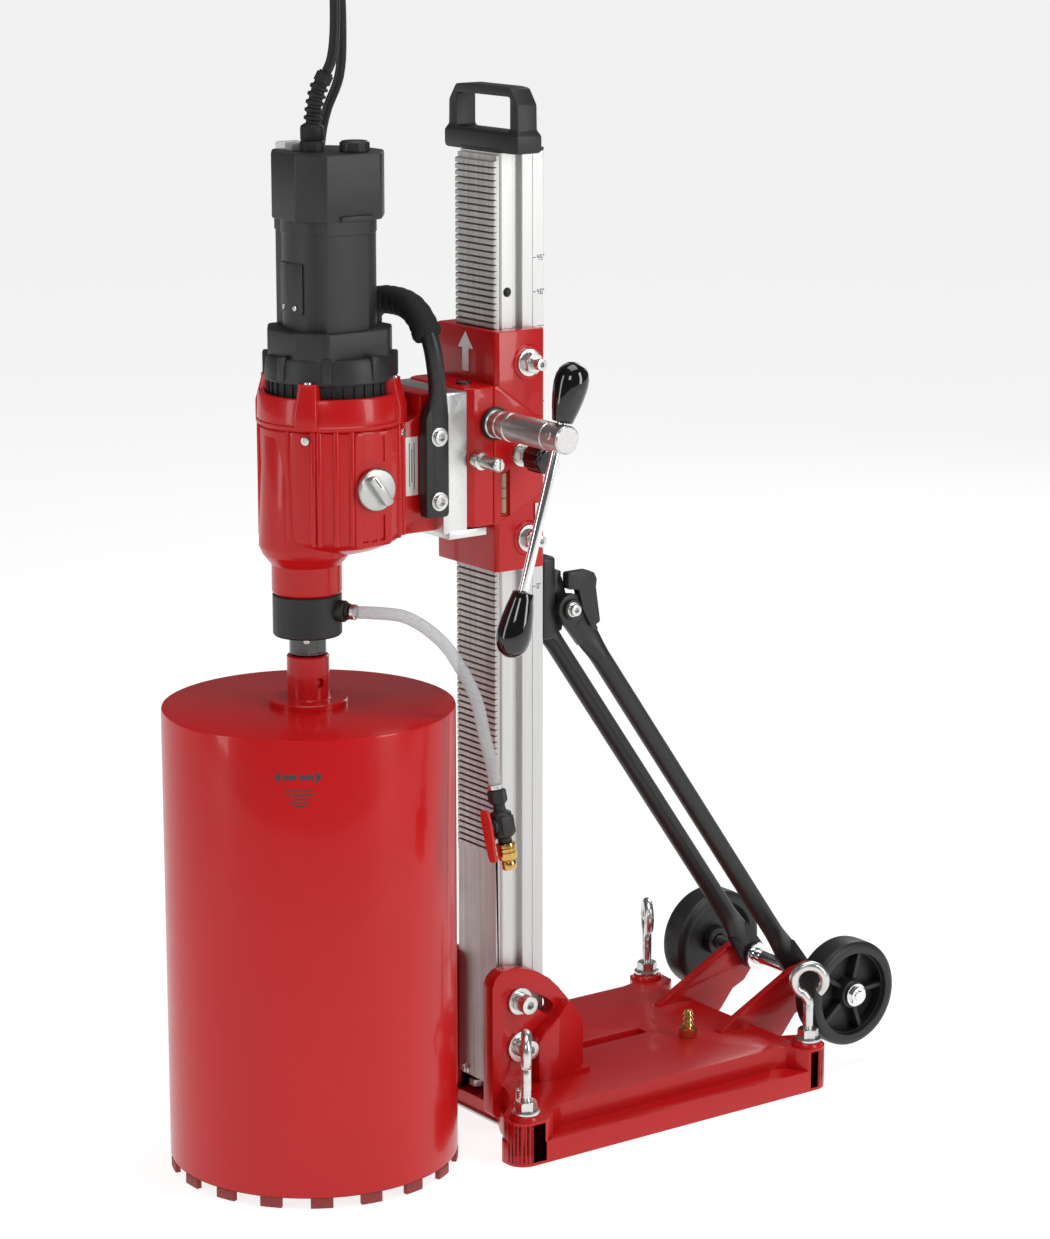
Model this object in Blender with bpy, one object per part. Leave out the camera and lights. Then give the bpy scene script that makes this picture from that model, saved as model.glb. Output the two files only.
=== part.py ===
"""Core drill rig: stand, tilting column, rack-fed carriage, drill motor, core bit."""
import math

import bmesh
import bpy
from mathutils import Matrix, Vector

# ---------------------------------------------------------------- driving dimensions (mm)
GAP = 0.3
FACETS = 0.55

BASE_HALF_X = 134.0
LEDGE_Z = 20.0
DECK_Z = 40.0
DECK_HALF_X = 111.0
BOSS_Z = 44.5
TRAY_Z = 16.0
BOLT_X = 120.0
BOLT_FRONT_Y = -60.0
BOLT_REAR_Y = 260.0
CHEEK_IN = 31.0
CHEEK_OUT = 45.0

PIVOT_Y = -12.0
PIVOT_Z = 74.0
LOCK_R = 42.5

AXLE_Y = 322.0
AXLE_Z = 74.0
WHEEL_R = 50.0
WHEEL_IN = 84.0
WHEEL_OUT = 113.0
LUG_IN = 42.0
LUG_OUT = 50.0

COL_HALF_X = 30.0
COL_FRONT = -21.5
COL_REAR = 24.5
COL_BOTTOM = 30.0
COL_TOP = 864.0
GROOVE_Y = -3.7
GROOVE_HALF = 4.75
GROOVE_DEEP = 6.0

RACK_TIP_Y = -28.0
RACK_PITCH = 5.5
RACK_Z0 = 250.0
RACK_TEETH = 111

CAR_Z0 = 507.0
CAR_Z1 = 715.0
BOX_Z0 = 549.0
BOX_Z1 = 670.0
BOX_FRONT_Y = -69.0

PINION_Y = -39.2
PINION_Z = 637.75
PINION_TEETH = 14
ROD_X = 137.0
ROD_LEAN = math.radians(16.0)

MOTOR_Y = -175.0
BIT_Y = -201.0
GEAR_Z0 = 545.0
GEAR_Z1 = 647.0
GEAR_R = 61.5

BIT_R = 125.0
BIT_WALL = 4.0
BIT_TOP = 407.0
SEGMENTS = 18

STRUT_X = 34.0
STRUT_R = 9.0
JOINT_Y = 50.0
JOINT_Z = 462.5

CORD_R = 4.25
HOSE_R = 5.5
AWAY = Vector((-0.8416, 0.5402, 0.0))
COIL_MEAN_R = 47.0
COIL_HALF = 12.8

for old in list(bpy.data.objects):
    bpy.data.objects.remove(old, do_unlink=True)

parts = bpy.data.collections.new("core_drill_rig")
cutters = bpy.data.collections.new("cutters")
bpy.context.scene.collection.children.link(parts)
bpy.context.scene.collection.children.link(cutters)
cutters.hide_render = True

MATERIALS = {}


def material(name, colour, metallic=0.0, rough=0.5, coat=0.0, alpha=1.0):
    mat = bpy.data.materials.new(name)
    mat.use_nodes = True
    node = mat.node_tree.nodes["Principled BSDF"]
    node.inputs["Base Color"].default_value = (*colour, 1.0)
    node.inputs["Metallic"].default_value = metallic
    node.inputs["Roughness"].default_value = rough
    node.inputs["Coat Weight"].default_value = coat
    node.inputs["Alpha"].default_value = alpha
    mat.diffuse_color = (*colour, alpha)
    MATERIALS[name] = mat


material("red_paint", (0.55, 0.02, 0.02), rough=0.3, coat=0.4)
material("black_powder", (0.025, 0.026, 0.026), rough=0.55)
material("black_plastic", (0.045, 0.047, 0.046), rough=0.6)
material("gloss_black", (0.01, 0.01, 0.01), rough=0.15)
material("rubber", (0.015, 0.015, 0.015), rough=0.8)
material("aluminium", (0.72, 0.72, 0.7), metallic=0.9, rough=0.38)
material("rack_steel", (0.3, 0.28, 0.25), metallic=0.9, rough=0.45)
material("bright_steel", (0.7, 0.7, 0.7), metallic=1.0, rough=0.22)
material("chrome", (0.8, 0.8, 0.8), metallic=1.0, rough=0.08)
material("brass", (0.62, 0.42, 0.16), metallic=1.0, rough=0.3)
material("clear_hose", (0.8, 0.82, 0.82), rough=0.2, alpha=0.5)
material("vial_glass", (0.75, 0.7, 0.5), rough=0.1)
material("red_lever", (0.6, 0.03, 0.02), rough=0.4)
material("knob_grey", (0.5, 0.5, 0.49), rough=0.4)
material("diamond_metal", (0.4, 0.38, 0.35), metallic=0.8, rough=0.6)


# ---------------------------------------------------------------- shape helpers
def finish_mesh(bm, name, mat, at, smooth=False):
    bmesh.ops.remove_doubles(bm, verts=bm.verts, dist=2e-4)
    bmesh.ops.recalc_face_normals(bm, faces=bm.faces)
    origin = Vector(at)
    bmesh.ops.translate(bm, verts=bm.verts, vec=-origin)
    bmesh.ops.scale(bm, verts=bm.verts, vec=(0.001, 0.001, 0.001))
    mesh = bpy.data.meshes.new(name)
    bm.to_mesh(mesh)
    bm.free()
    ob = bpy.data.objects.new(name, mesh)
    ob.location = origin * 0.001
    ob.data.materials.append(MATERIALS[mat])
    parts.objects.link(ob)
    if smooth:
        mesh.shade_smooth()
        mesh.set_sharp_from_angle(angle=math.radians(35.0))
    return ob


def prism_bm(outlines, low, high, axis="z"):
    """Extrude closed outlines (first one outer, the others holes) between two planes."""
    curve = bpy.data.curves.new("outline", "CURVE")
    curve.dimensions = "2D"
    curve.fill_mode = "BOTH"
    curve.extrude = abs(high - low) / 2.0
    for outline in outlines:
        spline = curve.splines.new("POLY")
        spline.points.add(len(outline) - 1)
        for point, (a, b) in zip(spline.points, outline):
            point.co = (a, b, 0.0, 1.0)
        spline.use_cyclic_u = True
    ob = bpy.data.objects.new("outline", curve)
    bpy.context.scene.collection.objects.link(ob)
    graph = bpy.context.evaluated_depsgraph_get()
    mesh = bpy.data.meshes.new_from_object(ob.evaluated_get(graph))
    bpy.data.objects.remove(ob, do_unlink=True)
    bm = bmesh.new()
    bm.from_mesh(mesh)
    bpy.data.meshes.remove(mesh)
    bmesh.ops.remove_doubles(bm, verts=bm.verts, dist=1e-3)
    mid = (low + high) / 2.0
    if axis == "x":
        turn = Matrix(((0, 0, 1, mid), (1, 0, 0, 0), (0, 1, 0, 0), (0, 0, 0, 1)))
    elif axis == "y":
        turn = Matrix(((1, 0, 0, 0), (0, 0, -1, mid), (0, 1, 0, 0), (0, 0, 0, 1)))
    else:
        turn = Matrix.Translation((0, 0, mid))
    bmesh.ops.transform(bm, matrix=turn, verts=bm.verts)
    bmesh.ops.recalc_face_normals(bm, faces=bm.faces)
    return bm


def lathe_bm(profile, steps, centre=(0.0, 0.0, 0.0), direction=(0.0, 0.0, 1.0), closed=False):
    """Turn a profile of (radius, height) points about an axis."""
    steps = max(8, 2 * round(steps * FACETS / 2))
    bm = bmesh.new()
    verts = [bm.verts.new((r, 0.0, h)) for r, h in profile]
    edges = [bm.edges.new(pair) for pair in zip(verts, verts[1:])]
    if closed:
        edges.append(bm.edges.new((verts[-1], verts[0])))
    bmesh.ops.spin(bm, geom=verts + edges, cent=(0, 0, 0), axis=(0, 0, 1),
                   angle=math.tau, steps=steps, use_merge=True)
    bmesh.ops.remove_doubles(bm, verts=bm.verts, dist=1e-3)
    turn = Vector((0, 0, 1)).rotation_difference(Vector(direction)).to_matrix().to_4x4()
    bmesh.ops.transform(bm, matrix=Matrix.Translation(centre) @ turn, verts=bm.verts)
    bmesh.ops.recalc_face_normals(bm, faces=bm.faces)
    return bm


def box_bm(x0, x1, y0, y1, z0, z1):
    bm = bmesh.new()
    bmesh.ops.create_cube(bm, size=1.0)
    bmesh.ops.scale(bm, verts=bm.verts, vec=(x1 - x0, y1 - y0, z1 - z0))
    bmesh.ops.translate(bm, verts=bm.verts,
                        vec=((x0 + x1) / 2, (y0 + y1) / 2, (z0 + z1) / 2))
    return bm


def tube_bm(points, radius, resolution=2):
    """Round bar along a run of points."""
    curve = bpy.data.curves.new("bar", "CURVE")
    curve.dimensions = "3D"
    curve.bevel_depth = radius
    curve.bevel_resolution = resolution
    curve.use_fill_caps = True
    spline = curve.splines.new("POLY")
    spline.points.add(len(points) - 1)
    for point, place in zip(spline.points, points):
        point.co = (*place, 1.0)
    ob = bpy.data.objects.new("bar", curve)
    bpy.context.scene.collection.objects.link(ob)
    graph = bpy.context.evaluated_depsgraph_get()
    mesh = bpy.data.meshes.new_from_object(ob.evaluated_get(graph))
    bpy.data.objects.remove(ob, do_unlink=True)
    bm = bmesh.new()
    bm.from_mesh(mesh)
    bpy.data.meshes.remove(mesh)
    bmesh.ops.remove_doubles(bm, verts=bm.verts, dist=1e-3)
    bmesh.ops.recalc_face_normals(bm, faces=bm.faces)
    return bm


def temp_object(bm):
    """A scratch copy in metres for a Boolean, kept only until it is applied."""
    bmesh.ops.scale(bm, verts=bm.verts, vec=(0.001, 0.001, 0.001))
    mesh = bpy.data.meshes.new("scratch")
    bm.to_mesh(mesh)
    bm.free()
    ob = bpy.data.objects.new("scratch", mesh)
    cutters.objects.link(ob)
    return ob


def combine(bm, others, operation):
    """Join or cut one solid with others and give back the result in millimetres."""
    target = temp_object(bm)
    for other in others:
        tool = temp_object(other)
        mod = target.modifiers.new("step", "BOOLEAN")
        mod.operation = operation
        mod.solver = "EXACT"
        mod.object = tool
        graph = bpy.context.evaluated_depsgraph_get()
        mesh = bpy.data.meshes.new_from_object(target.evaluated_get(graph))
        target.modifiers.clear()
        old = target.data
        target.data = mesh
        bpy.data.meshes.remove(old)
        bpy.data.objects.remove(tool, do_unlink=True)
    out = bmesh.new()
    out.from_mesh(target.data)
    bpy.data.objects.remove(target, do_unlink=True)
    bmesh.ops.scale(out, verts=out.verts, vec=(1000.0, 1000.0, 1000.0))
    bmesh.ops.remove_doubles(out, verts=out.verts, dist=2e-4)
    return out


def join(bm, *others):
    return combine(bm, others, "UNION")


def cut(bm, *others):
    return combine(bm, others, "DIFFERENCE")


def circle(cy, cz, radius, count=14, start=0.0, sweep=math.tau, ends=False):
    total = count if not ends else count - 1
    return [(cy + radius * math.cos(start + sweep * k / total),
             cz + radius * math.sin(start + sweep * k / total)) for k in range(count)]


def arc_slot(cy, cz, radius, half, a0, a1, count=8):
    """Closed outline of a round-ended slot bent about a centre."""
    outer = circle(cy, cz, radius + half, count, a0, a1 - a0, ends=True)
    tip = (cy + radius * math.cos(a1), cz + radius * math.sin(a1))
    cap1 = circle(tip[0], tip[1], half, 6, a1, math.pi, ends=True)[1:-1]
    inner = circle(cy, cz, radius - half, count, a1, a0 - a1, ends=True)
    tip = (cy + radius * math.cos(a0), cz + radius * math.sin(a0))
    cap0 = circle(tip[0], tip[1], half, 6, a0 + math.pi, math.pi, ends=True)[1:-1]
    return outer + cap1 + inner + cap0


def mirrored(points):
    """A right-hand outline followed by its mirror image back to the start."""
    kept = [(x, y) for x, y in points if abs(x) > 1e-6]
    return kept + [(-x, y) for x, y in reversed(kept)]


def rod_profile(radius, low, high, chamfer=0.0):
    if chamfer:
        return [(0, high), (radius - chamfer, high), (radius, high - chamfer),
                (radius, low + chamfer), (radius - chamfer, low), (0, low)]
    return [(0, high), (radius, high), (radius, low), (0, low)]


def hole_bm(radius, low, high, steps, centre=(0.0, 0.0, 0.0), direction=(0.0, 0.0, 1.0)):
    """Round cutter whose flats, not its corners, stand at the radius."""
    facets = max(8, 2 * round(steps * FACETS / 2))
    return lathe_bm(rod_profile(radius / math.cos(math.pi / facets), low, high), steps, centre, direction)


# ---------------------------------------------------------------- base
def corner(cx, cy, radius, a0, a1, count=5):
    return circle(cx, cy, radius, count, math.radians(a0), math.radians(a1 - a0), ends=True)


base_at = (0.0, 0.0, 0.0)
skirt = mirrored([(0, -28), (33, -28), (51, -38), (73, -46), (90, -56), (98, -68), (108, -78)]
                 + corner(118, -62, 16, -90, 0) + corner(118, 261, 16, 0, 90))
front_pad = [(46, -31), (60, -37), (84, -50), (98, -64), (106, -60), (111, -40), (111, 4), (46, 4)]
body = prism_bm([skirt], 0.0, LEDGE_Z)
tray_cut = box_bm(-CHEEK_IN, CHEEK_IN, -60, 62.5, TRAY_Z, LEDGE_Z + 5)
deck = mirrored([(46.5, 63), (46.5, 3), (DECK_HALF_X, 3), (DECK_HALF_X, 222), (98, 240), (90, 254)])
main_deck = prism_bm([deck], 10.0, DECK_Z)
adds = [main_deck]
for side in (1, -1):
    pad = [(side * x, y) for x, y in front_pad]
    adds.append(prism_bm([pad], 9.0, DECK_Z - 0.05))
    for by in (BOLT_FRONT_Y, BOLT_REAR_Y):
        adds.append(lathe_bm(rod_profile(15.5, 8.5, BOSS_Z), 20, (side * 118, by, 0)))
        reach = 26.0 if by < 0 else -26.0
        adds.append(box_bm(min(side * 104, side * 132), max(side * 104, side * 132),
                           min(by, by + reach), max(by, by + reach), 9.5, 33.0))
    cheek = [(-42, 12), (56, 12), (56, 88), (40, 109), (30, 121), (20, 131), (8, 139), (-6, 144.5),
             (-20, 147), (-32, 146), (-39, 141), (-42, 133)]
    holes = [circle(PIVOT_Y, PIVOT_Z, 6.3),
             arc_slot(PIVOT_Y, PIVOT_Z, LOCK_R, 6.4, math.radians(45), math.radians(93))]
    lo, hi = sorted((side * CHEEK_IN, side * CHEEK_OUT))
    adds.append(prism_bm([cheek] + holes, lo, hi, "x"))
    block = [(2, 11), (57, 11), (57, 96), (46, 104), (36, 110), (4, 66), (-1, 60), (-1, 50)]
    lo, hi = sorted((side * (CHEEK_OUT - 1), side * 60.0))
    adds.append(prism_bm([block], lo, hi, "x"))
    eye = circle(AXLE_Y, AXLE_Z, 14.5, 9, math.radians(-40), math.radians(150), ends=True)
    lug = [(214, 12), (277, 13), (290, 24), (304, 41), (318, 47)] + eye + [(300, 85), (226, 48), (214, 41)]
    lo, hi = sorted((side * LUG_IN, side * LUG_OUT))
    adds.append(prism_bm([lug, circle(AXLE_Y, AXLE_Z, 7.3)], lo, hi, "x"))
body = join(body, *adds)
subs = [tray_cut, box_bm(-108, 108, 9, 248, -5, 8.0),
        prism_bm([[(-7, 78), (-5, 73), (5, 73), (7, 78), (7, 158), (5, 163), (-5, 163), (-7, 158)]],
                 2.0, 60.0),
        hole_bm(4.4, 2.0, 60.0, 16, (38, 185, 0)),
        box_bm(-CHEEK_IN, CHEEK_IN, -60, 62.8, LEDGE_Z + 1, 60)]
for side in (1, -1):
    for by in (BOLT_FRONT_Y, BOLT_REAR_Y):
        subs.append(hole_bm(5.3, -5.0, 60.0, 16, (side * BOLT_X, by, 0)))
finish_mesh(cut(body, *subs), "base_plate", "red_paint", base_at)

seal_out = [(-107.7, 9.3), (107.7, 9.3), (107.7, 247.7), (-107.7, 247.7)]
seal_in = [(-100, 17), (100, 17), (100, 240), (-100, 240)]
finish_mesh(prism_bm([seal_out, seal_in], 0.4, 7.7), "base_seal", "rubber", base_at)

nipple = [(0, 66), (3.2, 66), (4.6, 61), (3.4, 60.6), (5.0, 56), (3.6, 55.6), (5.2, 51), (4.0, 50.6),
          (4.0, 48), (8.5, 47.8), (8.5, 40.3), (4.1, 40.3), (4.1, 12.0), (0, 12.0)]
finish_mesh(lathe_bm(nipple, 16, (38, 185, 0)), "vacuum_nipple", "brass", base_at, True)

for tag, side in (("right", 1), ("left", -1)):
    profile = [(0, 61.5), (8, 61.5), (8, 53), (11.5, 52.5), (11.5, 49), (14.5, 48.6), (14.5, 45.3),
               (6.0, 45.3), (6.0, 21.0), (0, 21.0)]
    finish_mesh(lathe_bm(profile, 20, (0, PIVOT_Y, PIVOT_Z), (side, 0, 0)),
                "pivot_bolt_" + tag, "bright_steel", base_at, True)

axle_right = [(0, 121), (6.0, 121), (6.0, 116.3), (11, 116), (11, 113.6), (7, 113.6), (7, 29.0),
              (13.5, 29.0), (13.5, 25.5), (7, 25.5)]
axle_profile = axle_right + [(r, -h) for r, h in reversed(axle_right)]
finish_mesh(lathe_bm(axle_profile, 20, (0, AXLE_Y, AXLE_Z), (1, 0, 0)),
            "axle", "chrome", base_at, True)

# ---------------------------------------------------------------- levelling eye screws
RING_R = 14.0
WIRE_R = 4.9
for tag, side, by, turned in (("front_right", 1, BOLT_FRONT_Y, -36), ("front_left", -1, BOLT_FRONT_Y, 54),
                              ("rear_right", 1, BOLT_REAR_Y, 54), ("rear_left", -1, BOLT_REAR_Y, -30)):
    spot = (side * BOLT_X, by, 0)
    shank = [(0, 84), (4.95, 84), (4.95, 56.2), (9.6, 55.9), (9.6, 47.6), (12.2, 47.3), (12.2, 44.8),
             (4.95, 44.8), (4.95, 4.0), (3.4, 1.2), (0, 1.2)]
    stem = lathe_bm(shank, 16, spot)
    loop = [(0.0, 82.0), (0.0, 84.5)]
    loop += [(RING_R * math.cos(math.radians(a)) + 0.5, 101.5 + RING_R * math.sin(math.radians(a)))
             for a in range(-118, -118 - 300, -30)]
    a = math.radians(turned)
    way = [(side * BOLT_X + x * math.cos(a), by + x * math.sin(a), z) for x, z in loop]
    ring = tube_bm(way, WIRE_R - 0.2, 1)
    finish_mesh(join(stem, ring), "eye_screw_" + tag, "bright_steel", spot, True)

# ---------------------------------------------------------------- wheels
for tag, side in (("right", 1), ("left", -1)):
    rim = [(40, WHEEL_OUT), (45.5, WHEEL_OUT), (49, 109), (WHEEL_R, 105), (WHEEL_R, 92), (49, 88),
           (45.5, WHEEL_IN), (40, WHEEL_IN), (38.5, 95), (14, 97), (12.5, WHEEL_IN + 1), (7.4, WHEEL_IN + 1),
           (7.4, WHEEL_OUT - 0.2), (12, WHEEL_OUT - 0.2), (14, 101), (38.5, 102)]
    finish_mesh(lathe_bm(rim, 40, (0, AXLE_Y, AXLE_Z), (side, 0, 0), closed=True),
                "wheel_" + tag, "black_plastic", (side * 98.5, AXLE_Y, AXLE_Z), True)

# ---------------------------------------------------------------- struts
along = Vector((0, JOINT_Y - AXLE_Y, JOINT_Z - AXLE_Z))
strut_len = along.length
along.normalize()
across = Vector((0, along.z, -along.y))
axle_point = Vector((0, AXLE_Y, AXLE_Z))


def on_strut(t, s=0.0, x=0.0):
    """Point t along the strut from the axle, s to its rear side and x across."""
    p = axle_point + along * t + across * s
    return Vector((x, p.y, p.z))


def strut_plate(outline, hole_at, hole_radius, x0, x1):
    """Flattened end of a strut: an outline in the strut's own frame with one round hole."""
    world = [tuple(on_strut(t, s).yz) for t, s in outline]
    hole = circle(*on_strut(hole_at).yz, hole_radius, 16)
    return prism_bm([world, hole], min(x0, x1), max(x0, x1), "x")


FLAT_HALF = 10.3
end_round = circle(0, 0, 14.0, 9, math.radians(90), math.pi, ends=True)
low_outline = [(46, -FLAT_HALF), (46, FLAT_HALF)] + end_round
top_outline = [(strut_len - 50, FLAT_HALF), (strut_len - 50, -FLAT_HALF)] + [
    (strut_len - a, -b) for a, b in end_round]
catch_arm = [(44.3, 481), (44.3, 496), (66, 496), (72.5, 493), (75.5, 487), (74.5, 480), (79.5, 448),
             (70, 444), (60, 462), (56, 480)]
for tag, side in (("right", 1), ("left", -1)):
    bar = tube_bm([on_strut(38, 0, side * 34.5), on_strut(strut_len - 42, 0, side * STRUT_X)], STRUT_R, 2)
    low_end = strut_plate(low_outline, 0, 7.3, side * 30.0, side * 38.5)
    top_end = strut_plate(top_outline, strut_len, 8.6, side * 30.6, side * 36.6)
    arm = prism_bm([catch_arm, circle(JOINT_Y, JOINT_Z, 8.6, 16)],
                   min(side * 31.0, side * 40.0), max(side * 31.0, side * 40.0), "x")
    arm = cut(arm, hole_bm(8.9, 29, 50, 24, (0, JOINT_Y, JOINT_Z), (side, 0, 0)))
    finish_mesh(join(bar, low_end, top_end, arm), "strut_" + tag, "black_powder",
                (0, AXLE_Y, AXLE_Z), True)

# ---------------------------------------------------------------- strut bracket on the column
bracket_at = (0, COL_REAR, JOINT_Z)
plate = box_bm(-30, 30, COL_REAR + GAP, 37.0, 436, 510)
step = box_bm(-30, 30, 36.0, 43.8, 477, 497)
ear = [(34, 438), (50, 441)] + circle(JOINT_Y, JOINT_Z, 12.5, 9, math.radians(-80), math.radians(150),
                                      ends=True) + [(50, 489), (34, 491)]
ear_body = prism_bm([ear, circle(JOINT_Y, JOINT_Z, 5.4, 16)], -22.0, 22.0, "x")
key = box_bm(-4.6, 4.6, 19.0, COL_REAR + 2, 440, 509)
finish_mesh(join(plate, step, ear_body, key), "strut_bracket", "black_powder", bracket_at)
bolt = [(0, 45), (5.6, 45), (6.2, 44.3), (6.2, 40.6), (5.0, 40.4), (5.0, -40.4), (8, -40.5), (8, -46),
        (0, -46)]
finish_mesh(lathe_bm(bolt, 20, (0, JOINT_Y, JOINT_Z), (1, 0, 0)),
            "bracket_bolt", "bright_steel", bracket_at, True)

# ---------------------------------------------------------------- column
column_at = (0, PIVOT_Y, PIVOT_Z)
g0, g1 = GROOVE_Y - GROOVE_HALF, GROOVE_Y + GROOVE_HALF
gx = COL_HALF_X - GROOVE_DEEP
half = [(0, COL_FRONT), (COL_HALF_X - 1, COL_FRONT), (COL_HALF_X, COL_FRONT + 1), (COL_HALF_X, g0), (gx, g0),
        (gx, g1), (COL_HALF_X, g1), (COL_HALF_X, COL_REAR), (5.2, COL_REAR), (5.2, COL_REAR - 6)]
hollow = [(-19, -16), (19, -16), (19, 12.5), (-19, 12.5)]
profile = prism_bm([mirrored(half), hollow], COL_BOTTOM, COL_TOP)
holes = [hole_bm(6.3, -40, 40, 20, (0, PIVOT_Y, PIVOT_Z), (1, 0, 0)),
         hole_bm(6.3, -40, 40, 20, (0, PIVOT_Y - 1.5, PIVOT_Z + LOCK_R), (1, 0, 0)),
         hole_bm(4.2, 10, 40, 16, (0, -14.5, 746), (1, 0, 0))]
finish_mesh(cut(profile, *holes), "column_profile", "aluminium", column_at)

root_y = RACK_TIP_Y + 3.9
back_y = COL_FRONT - GAP
teeth = [(back_y, COL_TOP - 2), (back_y, 34), (-26.5, 34), (-26.5, RACK_Z0 - 3)]
for k in range(RACK_TEETH):
    z = RACK_Z0 + k * RACK_PITCH
    teeth += [(root_y, z - 1.9), (RACK_TIP_Y, z - 0.75), (RACK_TIP_Y, z + 0.75), (root_y, z + 1.9)]
teeth.append((root_y, COL_TOP - 2))
finish_mesh(prism_bm([teeth], -28.5, 28.5, "x"), "rack", "rack_steel", column_at)

loop = mirrored([(53.5, COL_TOP + GAP), (53.5, 879), (50.5, 884), (50, 905), (40, 918.4), (30, 919.5)])
window = [(-37, 882), (37, 882), (39, 884), (39, 909), (37, 911), (-37, 911), (-39, 909), (-39, 884)]
end_plate = box_bm(-30, 30, -21, COL_REAR, COL_TOP + GAP, COL_TOP + 3.5)
top_handle = join(prism_bm([loop, window], -20.5, 4.5, "y"), end_plate)
finish_mesh(top_handle, "top_handle", "black_plastic", column_at)

for tag, side in (("right", 1), ("left", -1)):
    profile = [(0, 63), (7.5, 63), (7.5, 54.5), (8.5, 54.2), (8.5, 48.5), (12.5, 48.3), (12.5, 45.3),
               (5.9, 45.3), (5.9, 21.0), (0, 21.0)]
    finish_mesh(lathe_bm(profile, 20, (0, PIVOT_Y - 1.5, PIVOT_Z + LOCK_R), (side, 0, 0)),
                "tilt_lock_bolt_" + tag, "bright_steel", column_at, True)

# ---------------------------------------------------------------- carriage
car_at = (0, 0, 611)
wrap = mirrored([(42, -37), (45, -34), (45, 14), (30.8, 14), (30.8, -29.2)])
shell = prism_bm([wrap], CAR_Z0, CAR_Z1)
front_box = prism_bm([[(-34, BOX_Z0), (BOX_FRONT_Y + 2, BOX_Z0), (BOX_FRONT_Y, BOX_Z0 + 2),
                       (BOX_FRONT_Y, BOX_Z1 - 2), (BOX_FRONT_Y + 2, BOX_Z1), (-34, BOX_Z1)]],
                     -45, 45, "x")
shell = join(shell, front_box)
cuts = [box_bm(-17.3, 17.3, -56, -20, PINION_Z - 16.5, PINION_Z + 16.5),
        hole_bm(12.9, 0, 60, 24, (0, PINION_Y, PINION_Z), (1, 0, 0)),
        hole_bm(8.3, 0, 41, 20, (0, PINION_Y, PINION_Z), (-1, 0, 0)),
        hole_bm(5.3, 30, 60, 16, (0, -58, 608), (1, 0, 0)),
        hole_bm(5.3, 20, 60, 16, (0, -11, 608), (1, 0, 0)),
        box_bm(39.5, 60, -33, -23.4, 556, 596)]
for side in (1, -1):
    for z in (534, 687):
        cuts.append(hole_bm(5.3, 20, 60, 16, (0, GROOVE_Y, z), (side, 0, 0)))
finish_mesh(cut(shell, *cuts), "carriage_housing", "red_paint", car_at)
for tag, side in (("right", 1), ("left", -1)):
    lo, hi = sorted((side * (gx + GAP), side * (COL_HALF_X + 0.5)))
    finish_mesh(box_bm(lo, hi, g0 + GAP, g1 - GAP, 515, 708), "guide_shoe_" + tag, "brass", car_at)
    for level, z in (("upper", 687), ("lower", 534)):
        profile = [(0, 66), (5.0, 66), (5.0, 56), (9.2, 55.8), (9.2, 48), (12.0, 47.8), (12.0, 45.3),
                   (5.0, 45.3), (5.0, 31.0), (0, 31.0)]
        finish_mesh(lathe_bm(profile, 18, (0, GROOVE_Y, z), (side, 0, 0)),
                    "guide_bolt_" + level + "_" + tag, "bright_steel", car_at, True)
finish_mesh(box_bm(39.8, 44.2, -32.7, -23.7, 556.3, 595.7), "spirit_vial", "vial_glass", car_at)

adaptor_outline = [(-37, 546), (37, 546), (40, 549), (40, 668), (-40, 668), (-40, 549)]
adaptor = prism_bm([adaptor_outline], -89.0, BOX_FRONT_Y - GAP, "y")
lip = box_bm(-44, 44, -86, -46, 541.5, BOX_Z0 - GAP)
finish_mesh(join(adaptor, lip), "motor_adaptor", "aluminium", car_at)

# ---------------------------------------------------------------- gearbox and motor
gear_case = lathe_bm([(0, GEAR_Z1), (GEAR_R, GEAR_Z1), (GEAR_R, 560), (57, 548), (0, 545)], 40,
                     (0, MOTOR_Y, 0))
neck = lathe_bm([(0, 600), (44, 600), (42, 552), (33, 538), (29.7, 530), (29.7, 504.1), (0, 504.1)], 32,
                (0, BIT_Y, 0))
flange = prism_bm([[(-140, 552), (-89.3, 548), (-89.3, 668), (-111, 668), (-111, 646.5), (-140, 640)]],
                  -37.5, 37.5, "x")
case = join(gear_case, neck, flange)
case = cut(case,
           hole_bm(54, 562, 700, 40, (0, MOTOR_Y, 0)),
           hole_bm(17.0, 480, 580, 24, (0, BIT_Y, 0)),
           hole_bm(5.3, 40, 90, 16, (0, -173, 598), (1, 0, 0)))
finish_mesh(case, "gearbox_housing", "red_paint", car_at, True)

shield = [(54, 684), (60, 681), (63, 672), (63, 654), (62, GEAR_Z1 + GAP), (12, GEAR_Z1 + GAP), (12, 653),
          (50, 655), (50, 684)]
finish_mesh(lathe_bm(shield, 40, (0, MOTOR_Y, 0), closed=True), "bearing_shield", "red_paint", car_at, True)

can = [(39, 823), (39, 728), (46.5, 727), (46.5, 706), (54, 705), (54, 684.4), (12, 684.4), (12, 690),
       (35, 691), (35, 823)]
finish_mesh(lathe_bm(can, 40, (0, MOTOR_Y, 0), closed=True), "motor_housing", "black_plastic", car_at, True)

cap = [(0, 873), (43, 873), (44.5, 871), (44.5, 818), (39.3, 818), (39.3, 823.3), (36, 823.3), (36, 868),
       (0, 868)]
finish_mesh(lathe_bm(cap, 40, (0, MOTOR_Y, 0)), "motor_cap", "black_plastic", car_at, True)

stack = [(0, 818), (4, 818), (4, 806), (24, 804), (24, 736), (4, 734), (4, 640), (5.6, 638), (5.6, 606),
         (0, 605)]
finish_mesh(lathe_bm(stack, 24, (0, MOTOR_Y, 0)), "armature", "bright_steel", (0, MOTOR_Y, 700), True)

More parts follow.
